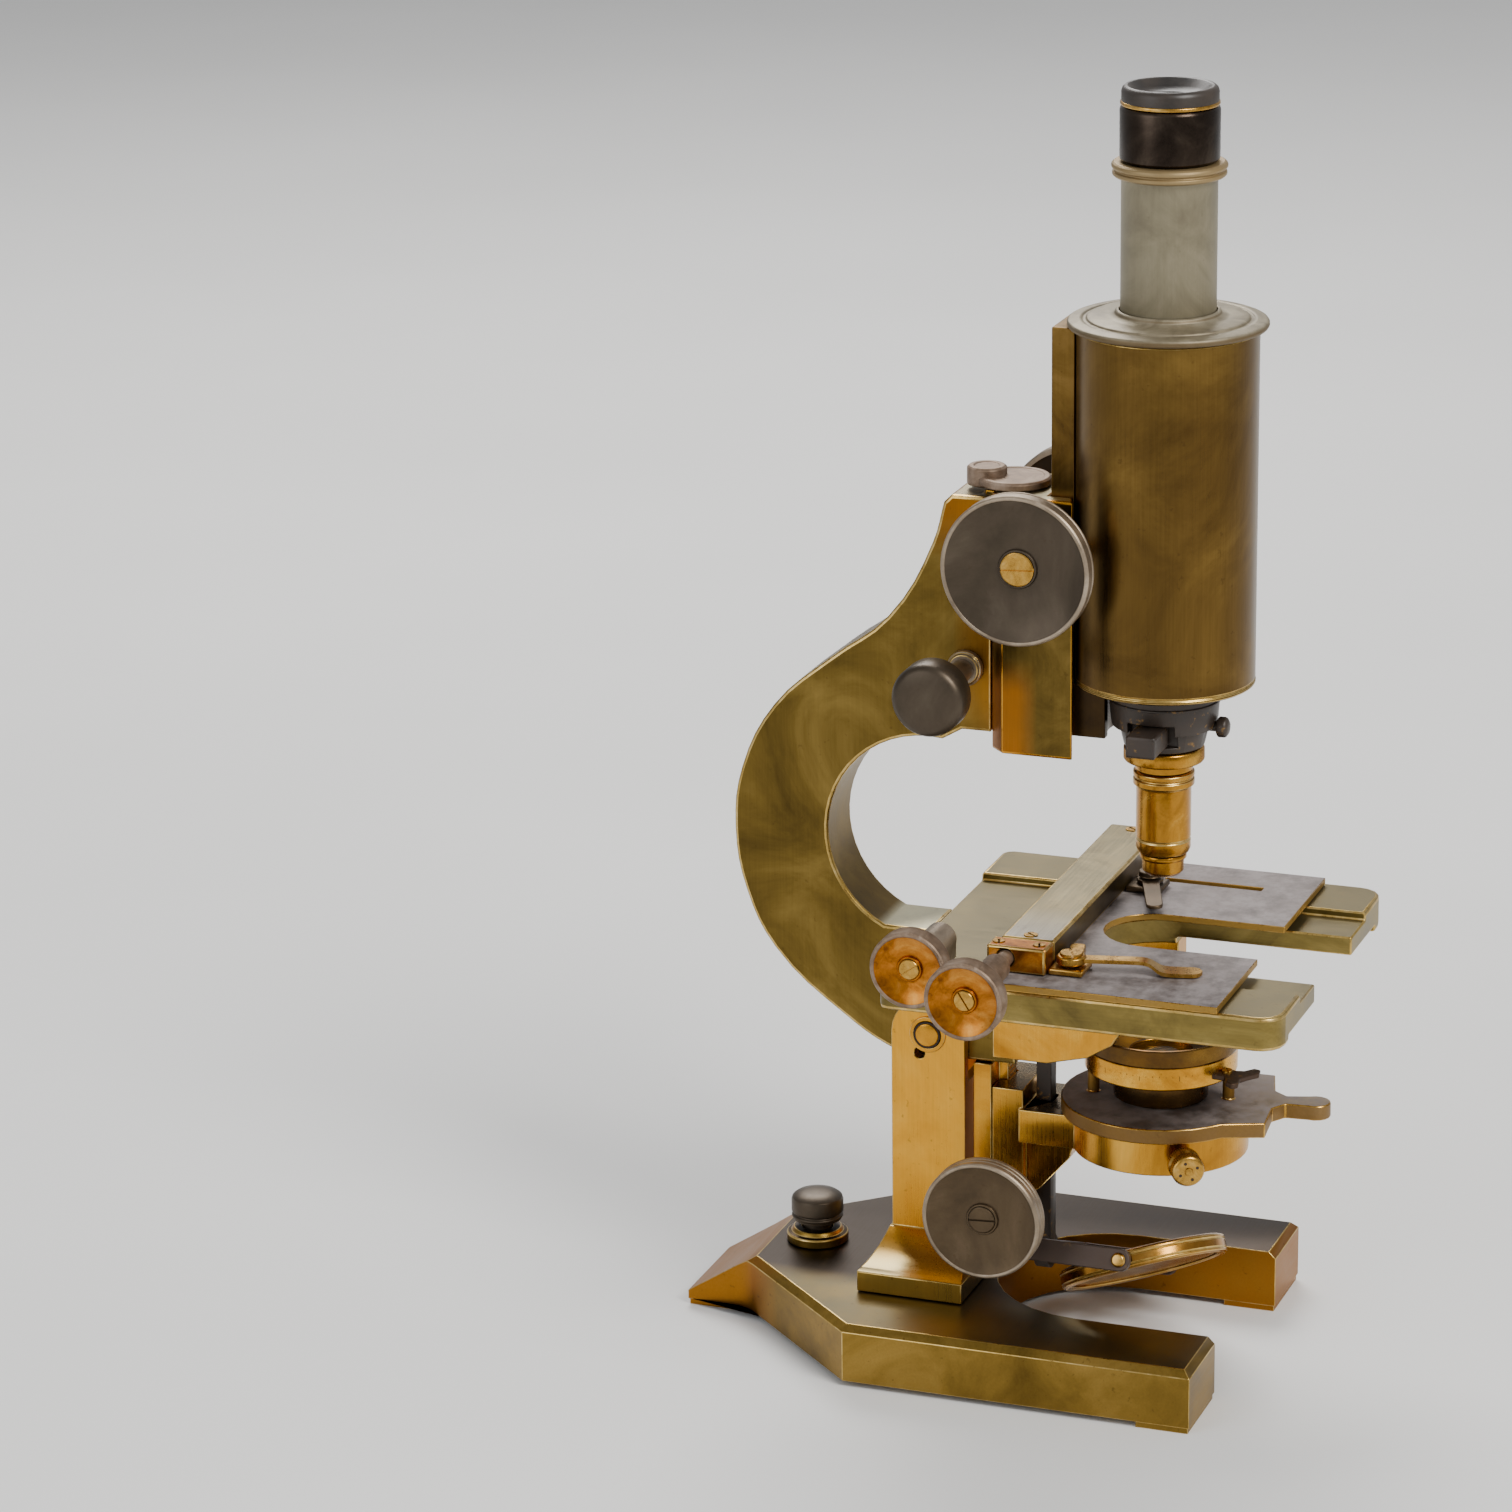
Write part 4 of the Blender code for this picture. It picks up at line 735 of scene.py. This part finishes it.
def draw_tube_and_eyepiece():
    rim, tall = upright("draw_tube")
    wall = rim - 2.7
    tube = [(wall - 1.0, tall), (rim - 0.9, tall), (rim - 0.2, tall - 0.5), (rim, tall - 1.1),
            (rim - 0.2, tall - 1.7), (rim - 0.9, tall - 2.0), (rim - 0.9, tall - 2.4),
            (rim - 0.3, tall - 2.7), (rim - 0.3, tall - 3.5), (rim - 0.9, tall - 4.0),
            (wall + 0.2, tall - 4.3), (wall, tall - 4.9), (wall, 0.0), (wall - 1.0, 0.0)]
    turned("draw_tube", "draw_tube_turned", tube, UP, "nickel", 112, True)
    rim, tall = upright("eyepiece_body")
    sleeve_top = 23.6
    barrel = [(10.6, tall), (rim - 0.7, tall), (rim - 0.2, tall - 0.5), (rim, tall - 1.2),
              (rim, sleeve_top + 0.6), (rim - 0.6, sleeve_top), (11.8, sleeve_top),
              (11.8, 0.0), (10.6, 0.0)]
    turned("eyepiece_body", "eyepiece_turned", barrel, UP, "eyepiece", 112, True)
    rim, tall = upright("eyepiece_cap")
    line = [(rim - 1.0, 1.1), (rim + 0.1, 1.0), (rim + 0.3, 0.7), (rim + 0.3, 0.1),
            (rim, -0.1), (rim - 1.0, -0.1)]
    on_node(lathe("eyepiece_line", line, foot_of("eyepiece_cap", UP), UP, "bright", ring=True),
            "eyepiece_cap", "bright_brass")
    cap = [(6.2, 2.0), (7.2, 2.2), (9.4, 3.2), (10.9, tall - 0.3), (11.6, tall),
           (12.2, tall - 0.1), (12.9, tall - 0.7), (rim, tall - 1.6), (rim, 0.9),
           (rim - 1.2, 0.0), (6.2, 0.0)]
    turned("eyepiece_cap", "eyepiece_cap_turned", cap, UP, "cap", 112, True)


def nosepiece_and_objective():
    refined("nosepiece", 0.25, "black")
    refined("changer_lug", 0.4, "black")
    radius, tall = upright("nosepiece")
    for name, level in (("upper", tall - 1.6), ("lower", tall - 4.4)):
        ring = [(radius - 0.6, level + 0.5), (radius + 0.25, level + 0.3),
                (radius + 0.25, level - 0.3), (radius - 0.6, level - 0.5)]
        on_node(lathe("nosepiece_ring_" + name, ring, foot_of("nosepiece", UP), UP, "black",
                      ring=True), "nosepiece", "black_enamel")
    long = span_of("nosepiece_clamp_screw", 1)
    screw = [(0, long), (1.8, long - 0.1), (2.7, long - 0.7), (2.9, long - 1.2),
             (2.9, long - 2.8), (2.4, long - 3.2), (1.4, long - 3.3), (1.4, 0.0), (0, 0.0)]
    turned("nosepiece_clamp_screw", "nosepiece_screw_turned", screw, FRONT, "black", 48,
           teeth=(3, 4), depth=0.2)
    radius, tall = upright("objective_adapter")
    adapter = [(5.5, tall), (10.4, tall), (11.0, tall - 0.4), (radius, tall - 0.8),
               (radius, tall - 3.8), (11.0, tall - 4.2), (10.2, tall - 4.5), (8.0, tall - 4.6),
               (8.0, 0.0), (5.5, 0.0)]
    turned("objective_adapter", "objective_adapter_turned", adapter, UP, "objective", 160, True,
           teeth=(3, 4), depth=0.22)
    radius, tall = upright("objective_barrel")
    barrel = [(4.6, tall), (7.9, tall), (radius, tall - 0.5), (radius, tall - 1.6),
              (radius - 0.5, tall - 1.9), (radius - 0.5, tall - 2.3), (radius, tall - 2.6),
              (radius, tall - 4.1), (radius - 0.7, tall - 4.6), (7.7, tall - 5.2), (7.7, 4.6),
              (7.5, 4.4), (7.5, 4.0), (7.7, 3.8), (7.7, 1.5), (7.2, 0.3), (6.6, 0.0),
              (4.6, 0.0)]
    turned("objective_barrel", "objective_barrel_turned", barrel, UP, "objective", 96, True,
           edge="edge")
    radius, tall = upright("objective_nose")
    nose = [(3.3, tall), (radius - 0.2, tall), (radius, tall - 0.4), (radius, tall - 1.2),
            (radius - 0.7, tall - 1.7), (5.9, tall - 2.0), (5.8, 1.1), (5.0, 0.2), (4.6, 0.0),
            (3.3, 0.0)]
    turned("objective_nose", "objective_nose_turned", nose, UP, "objective", 96, True)


# ---------------------------------------------------------------- the stage

def stage():
    refined("stage", 0.5, "stage", "edge")
    refined("stage_plate", 0.2, "plate", "bright")
    refined("cross_bar", 0.3, "bar", "edge")
    refined("x_drive_block", 0.35, "copper", "edge")
    refined("stage_y_bearing", 0.35, "rim", "edge")
    for side, look in (("near", "bright"), ("far", "brown")):
        refined("clip_seat_" + side, 0.25, look)
        clip_screw("clip_screw_" + side, look)
    refined("clip_far", 0.25, "brown")
    clip_arm()
    clip_stop()
    top_screws("cross_bar", 2.0, 0.9, (("bar_screw_near", 0.03, 0.5),
                                       ("bar_screw_far", 0.965, 0.5)))
    top_screws("x_drive_block", 1.8, 0.3, (("drive_screw_front", 0.5, 0.17),
                                           ("drive_screw_rear", 0.5, 0.86)))


def clip_screw(node, look):
    """The thumb screw on a clip, with a slotted head on its shank."""
    radius, tall = upright(node)
    shank = [(0, tall - 1.2), (radius - 0.3, tall - 1.2), (radius, tall - 1.5), (radius, 3.7),
             (radius - 0.3, 3.5), (1.4, 3.5), (1.4, 0.0), (0, 0.0)]
    turned(node, node + "_turned", shank, UP, look, 48)
    top = foot_of(node, UP) + UP * (tall - 1.3) * MM
    on_node(slotted(node + "_head", top, UP, radius - 0.1, 1.2, look, 0.4, 0.8), node)


CLIP_START = 3.4      # where the near clip's strip leaves its nut, from the pivot
CLIP_TIP = 2.4        # how far the tip's corner is from the tip's own centre
CLIP_DROP = 2.9       # the height of the step down


def clip_arm():
    """The near clip: a strip from its nut that steps down to a broad rounded tip."""
    low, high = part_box("clip_near")
    pivot = Vector(JOINTS["clip_near_swing"]["pos_m"])
    base = Vector((pivot.x, pivot.y, low.z))
    run = Vector((high.x - pivot.x, low.y - pivot.y)) / MM + Vector((-CLIP_TIP, CLIP_TIP))
    reach = run.length + CLIP_TIP
    top = (high.z - low.z) / MM + 0.8
    bm = bmesh.new()
    rings = []
    steps = 40
    for k in range(steps + 1):
        share = k / steps
        along = CLIP_START + (reach - CLIP_START) * share
        drop = 1.0 / (1.0 + math.exp(-(share - 0.6) * 34.0))
        half = 1.9 + 1.1 * drop
        left = (reach - along) / 3.0
        if left < 1.0:
            half *= max(math.sqrt(1.0 - (1.0 - left) ** 2), 0.06)
        level = top - CLIP_DROP * drop
        corners = [(-half, level - 1.1), (half, level - 1.1), (half, level), (-half, level)]
        rings.append([bm.verts.new((x * MM, -along * MM, z * MM)) for x, z in corners])
    for first, second in zip(rings, rings[1:]):
        for k in range(4):
            after = (k + 1) % 4
            bm.faces.new((first[k], first[after], second[after], second[k]))
    bm.faces.new(rings[0])
    bm.faces.new(rings[-1])
    arm = smooth(piece("clip_near_arm", bm, "bright"), 0.0, angle=40.0)
    lean = math.atan2(run.x, -run.y)
    arm.matrix_world = Matrix.Translation(base) @ Matrix.Rotation(lean, 4, "Z")
    on_node(arm, "clip_near")
    nut = [(2.0, 2.6), (3.6, 2.6), (4.1, 2.2), (4.1, 0.5), (3.7, 0.1), (2.0, 0.1)]
    as_node(lathe("clip_near_eye", nut, base, UP, "bright", 48, True), "clip_near")


def clip_stop():
    """The small brass block on the plate between the near clip and the bar."""
    bar_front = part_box("cross_bar")[0].y
    screw = (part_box("clip_screw_near")[0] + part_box("clip_screw_near")[1]) / 2
    plate_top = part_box("stage_plate")[1].z
    outline = [(-3.6, -2.2), (3.0, -2.2), (3.8, -1.2), (3.8, 1.6), (3.2, 2.2), (-3.6, 2.2),
               (-4.2, 1.4), (-4.2, -1.4)]
    block = slab("clip_stop_near", outline, 2.4, "bright", 0.3)
    place = Vector((screw.x + 12.0 * MM, bar_front - 3.4 * MM, plate_top + 0.3 * MM))
    block.matrix_world = Matrix.Translation(place) @ Matrix.Rotation(0.2, 4, "Z")
    on_node(block, "cross_bar", "bright_brass")


# ---------------------------------------------------------------- the substage and the mirror

def substage():
    refined("substage_bracket", 0.3, "arm", "edge")
    refined("iris_plate", 0.35, "iris", "bright")
    refined("substage_pinion", 0.2, "rim")
    condenser()
    clamp_screw()
    condenser_claw()
    rack("substage_rack", "substage_rail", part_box("substage_rail")[0].y - 0.05 * MM, 2.0, 6.6)


def condenser():
    """The condenser's mount, with the dark cover in its top and the scale on its band."""
    node = "condenser_mount"
    base = foot_of(node, UP)
    rim, tall = upright(node)
    mount = [(9.0, tall - 5.2), (14.0, tall - 4.3), (18.0, tall - 2.6), (20.0, tall + 0.4),
             (20.8, tall + 2.2), (rim - 0.9, tall + 2.6), (rim - 0.1, tall + 2.4),
             (rim, tall + 1.8), (rim - 0.1, tall - 2.4), (rim - 0.5, tall - 2.9),
             (rim - 0.6, tall - 9.2), (rim - 1.2, tall - 9.7), (13.4, tall - 9.7), (13.4, 0.0),
             (12.0, 0.0), (12.0, tall - 11.2), (9.0, tall - 11.2)]
    turned(node, "condenser_turned", mount, UP, "condenser", 128, True)
    cover = [(9.1, tall - 5.0), (14.0, tall - 4.1), (18.0, tall - 2.4), (20.0, tall - 0.5),
             (20.0, tall - 0.8), (18.0, tall - 2.8), (14.0, tall - 4.5), (9.1, tall - 5.4)]
    on_node(lathe("condenser_blacking", cover, base, UP, "black", 96, True), node,
            "black_enamel")
    lines = []
    marks = 72
    scale_top = tall - 4.0
    for k in range(marks):
        line = 2.6 if k % 6 == 0 else 1.5
        middle = Matrix.Translation(base + UP * (scale_top - line / 2) * MM)
        lines.append(middle @ Matrix.Rotation(math.tau * k / marks, 4, "Z")
                     @ Matrix.Translation(Vector((rim - 0.6, 0.0, 0.0)) * MM)
                     @ Matrix.Diagonal((1.0, 1.0, line, 1.0)))
    on_node(blocks("condenser_scale", lines, (0.12, 0.16, 1.0), "slot", 0.0), node,
            "black_enamel")


def clamp_screw():
    """The knurled screw in the ring, turned about its joint's own axis."""
    node = "substage_clamp_screw"
    direction = Vector(JOINTS["substage_screw_turn"]["axis"])
    origin = Vector(JOINTS["substage_screw_turn"]["pos_m"])
    head = [(0, 11.3), (1.0, 11.3), (1.2, 11.0), (3.6, 11.2), (4.3, 10.9), (4.7, 10.3),
            (4.7, 8.0), (4.1, 7.4), (4.1, 6.8), (4.7, 6.3), (4.7, 4.4), (4.2, 3.8), (1.8, 3.8),
            (1.8, -6.4), (0, -6.4)]
    as_node(lathe("clamp_screw_turned", head, origin, direction, "bright", 96,
                  teeth=(5, 6, 9, 10), depth=0.3), node)
    hole = [(0, 0.05), (0.45, 0.05), (0.45, -0.3), (0, -0.3)]
    face = origin + direction * 11.15 * MM
    holes = 4
    for k in range(holes):
        around = Matrix.Rotation(math.tau * k / holes + 0.4, 3, direction) @ UP
        on_node(lathe("clamp_hole_%d" % k, hole, face + around * 2.6 * MM, direction, "slot", 20,
                      width=0.0), node, "black_enamel")


def condenser_claw():
    """The dark claw on the condenser's band, with its screw."""
    node = "condenser_mount"
    rim, tall = upright(node)
    outline = [(-2.6, -2.6), (-1.0, 1.4), (1.4, 3.0), (3.4, 2.8), (5.2, 4.6), (6.2, 8.2),
               (8.0, 8.8), (9.0, 6.8), (8.0, 2.6), (7.6, -0.4), (9.2, -3.4), (8.4, -5.4),
               (6.0, -5.0), (3.8, -2.6), (1.2, -4.2), (-1.0, -4.6)]
    angle = math.radians(-111.0)
    tilt = math.radians(7.0)
    out = Vector((math.cos(angle), math.sin(angle), 0.0))
    place = foot_of(node, UP) + out * (rim - 1.9) * MM + UP * (tall - 7.6) * MM
    claw = slab("condenser_claw", outline, 1.7, "claw", 0.35)
    claw.matrix_world = (Matrix.Translation(place) @ Matrix.Rotation(angle, 4, "Z")
                         @ Matrix.Rotation(tilt, 4, "Y"))
    on_node(claw, node, "black_enamel")
    on_node(slotted("condenser_claw_screw", place + out * 2.9 * MM + UP * 1.2 * MM, UP, 1.5,
                    0.9, "bright", 0.5, 0.4), node, "bright_brass")


def broad_face(node):
    """The outward direction of a node's largest flat side."""
    sides = {}
    for face in frame["nodes"][node].data.polygons:
        key = tuple(round(value, 2) for value in face.normal)
        sides[key] = sides.get(key, 0.0) + face.area
    return Vector(max(sides, key=sides.get)).normalized()


def mirror():
    refined("mirror_fork", 0.3, "fork")
    for side in ("near", "far"):
        refined("mirror_pivot_" + side, 0.15, "bright")
    centre = Vector(JOINTS["mirror_tilt"]["pos_m"])
    rim = [(21.3, 2.4), (21.8, 2.7), (23.2, 2.8), (23.9, 2.5), (24.3, 2.1), (24.3, 1.5),
           (24.05, 1.35), (24.05, 1.1), (24.3, 0.95), (24.3, -1.2), (24.05, -1.35),
           (24.05, -1.6), (24.3, -1.75), (24.1, -2.3), (23.3, -2.8), (21.8, -2.7),
           (21.3, -2.3), (21.3, -0.4), (20.0, -0.4), (20.0, 0.4), (21.3, 0.4)]
    as_node(lathe("mirror_rim_turned", rim, centre, broad_face("mirror_flat"), "dish", 112,
                  True, edge="edge"), "mirror_rim")
    refined("mirror_flat", 0.0, "mirror")
    refined("mirror_hollow", 0.0, "dish")


def inner_pieces():
    """The nodes that keep their CAD shape and only take a look."""
    refined("coarse_pinion", 0.0, "bright")
    for node in ("eye_lens", "field_lens", "objective_lens", "condenser_lens"):
        refined(node, 0.0, "glass")


# ---------------------------------------------------------------- the studio, in metres

CAMERA_PLACE = (-1.38725, -0.4514, 0.640)
CAMERA_YAW = math.radians(20.67)
CAMERA_DIP = math.radians(17.6)
CAMERA_ROLL = math.radians(-0.8)
CAMERA_LENS = 130.6         # millimetres, as for the sensor below
CAMERA_SENSOR = 36.0

LAMP_AIM = Vector((0.0, 0.0, 0.18))
LAMPS = (   # name, place, size, watts, colour
    ("key", (-0.8, -1.4, 1.6), 0.9, 44.0, (1.0, 0.98, 0.95)),
    ("fill", (-1.4, 0.9, 0.8), 1.2, 9.0, (0.95, 0.97, 1.0)),
    ("back", (1.2, 0.6, 1.4), 1.0, 26.0, (1.0, 0.98, 0.96)),
)
SKY = (0.93, 0.94, 0.96, 1.0)
SKY_STRENGTH = 0.5
FLOOR_HALF = 6.0
FLOOR_TONES = ((0.74, 0.74, 0.73, 1.0), (0.78, 0.78, 0.77, 1.0))


def floor():
    bm = bmesh.new()
    bmesh.ops.create_grid(bm, x_segments=1, y_segments=1, size=FLOOR_HALF)
    ground = piece("floor", bm)
    paint = Nodes("floor_paint")
    tone = paint.ramp(paint.noise(3.0, 3.0), list(zip((0.3, 0.7), FLOOR_TONES)))
    paint.feed(paint.shader.inputs["Base Color"], tone)
    paint.shader.inputs["Roughness"].default_value = 0.75
    ground.data.materials.append(paint.material)


def lights():
    world = bpy.data.worlds.new("studio")
    world.use_nodes = True
    backdrop = world.node_tree.nodes["Background"]
    backdrop.inputs["Color"].default_value = SKY
    backdrop.inputs["Strength"].default_value = SKY_STRENGTH
    bpy.context.scene.world = world
    for name, place, size, watts, colour in LAMPS:
        data = bpy.data.lights.new(name, "AREA")
        data.shape = "DISK"
        data.size = size
        data.energy = watts
        data.color = colour
        lamp = bpy.data.objects.new(name, data)
        lamp.location = place
        lamp.rotation_euler = (LAMP_AIM - Vector(place)).to_track_quat("-Z", "Y").to_euler()
        bpy.context.scene.collection.objects.link(lamp)


def view():
    data = bpy.data.cameras.new("camera")
    data.lens = CAMERA_LENS
    data.sensor_width = CAMERA_SENSOR
    camera = bpy.data.objects.new("camera", data)
    camera.location = CAMERA_PLACE
    level = math.cos(CAMERA_DIP)
    look = Vector((level * math.cos(CAMERA_YAW), level * math.sin(CAMERA_YAW),
                   -math.sin(CAMERA_DIP)))
    turn = look.to_track_quat("-Z", "Y") @ Quaternion((0.0, 0.0, 1.0), CAMERA_ROLL)
    camera.rotation_euler = turn.to_euler()
    bpy.context.scene.collection.objects.link(camera)
    bpy.context.scene.camera = camera


foot_and_pillar()
pivot_pin()
limb()
carrier()
knobs()
fine_drive()
body_tube()
draw_tube_and_eyepiece()
nosepiece_and_objective()
stage()
substage()
mirror()
inner_pieces()
floor()
lights()
view()
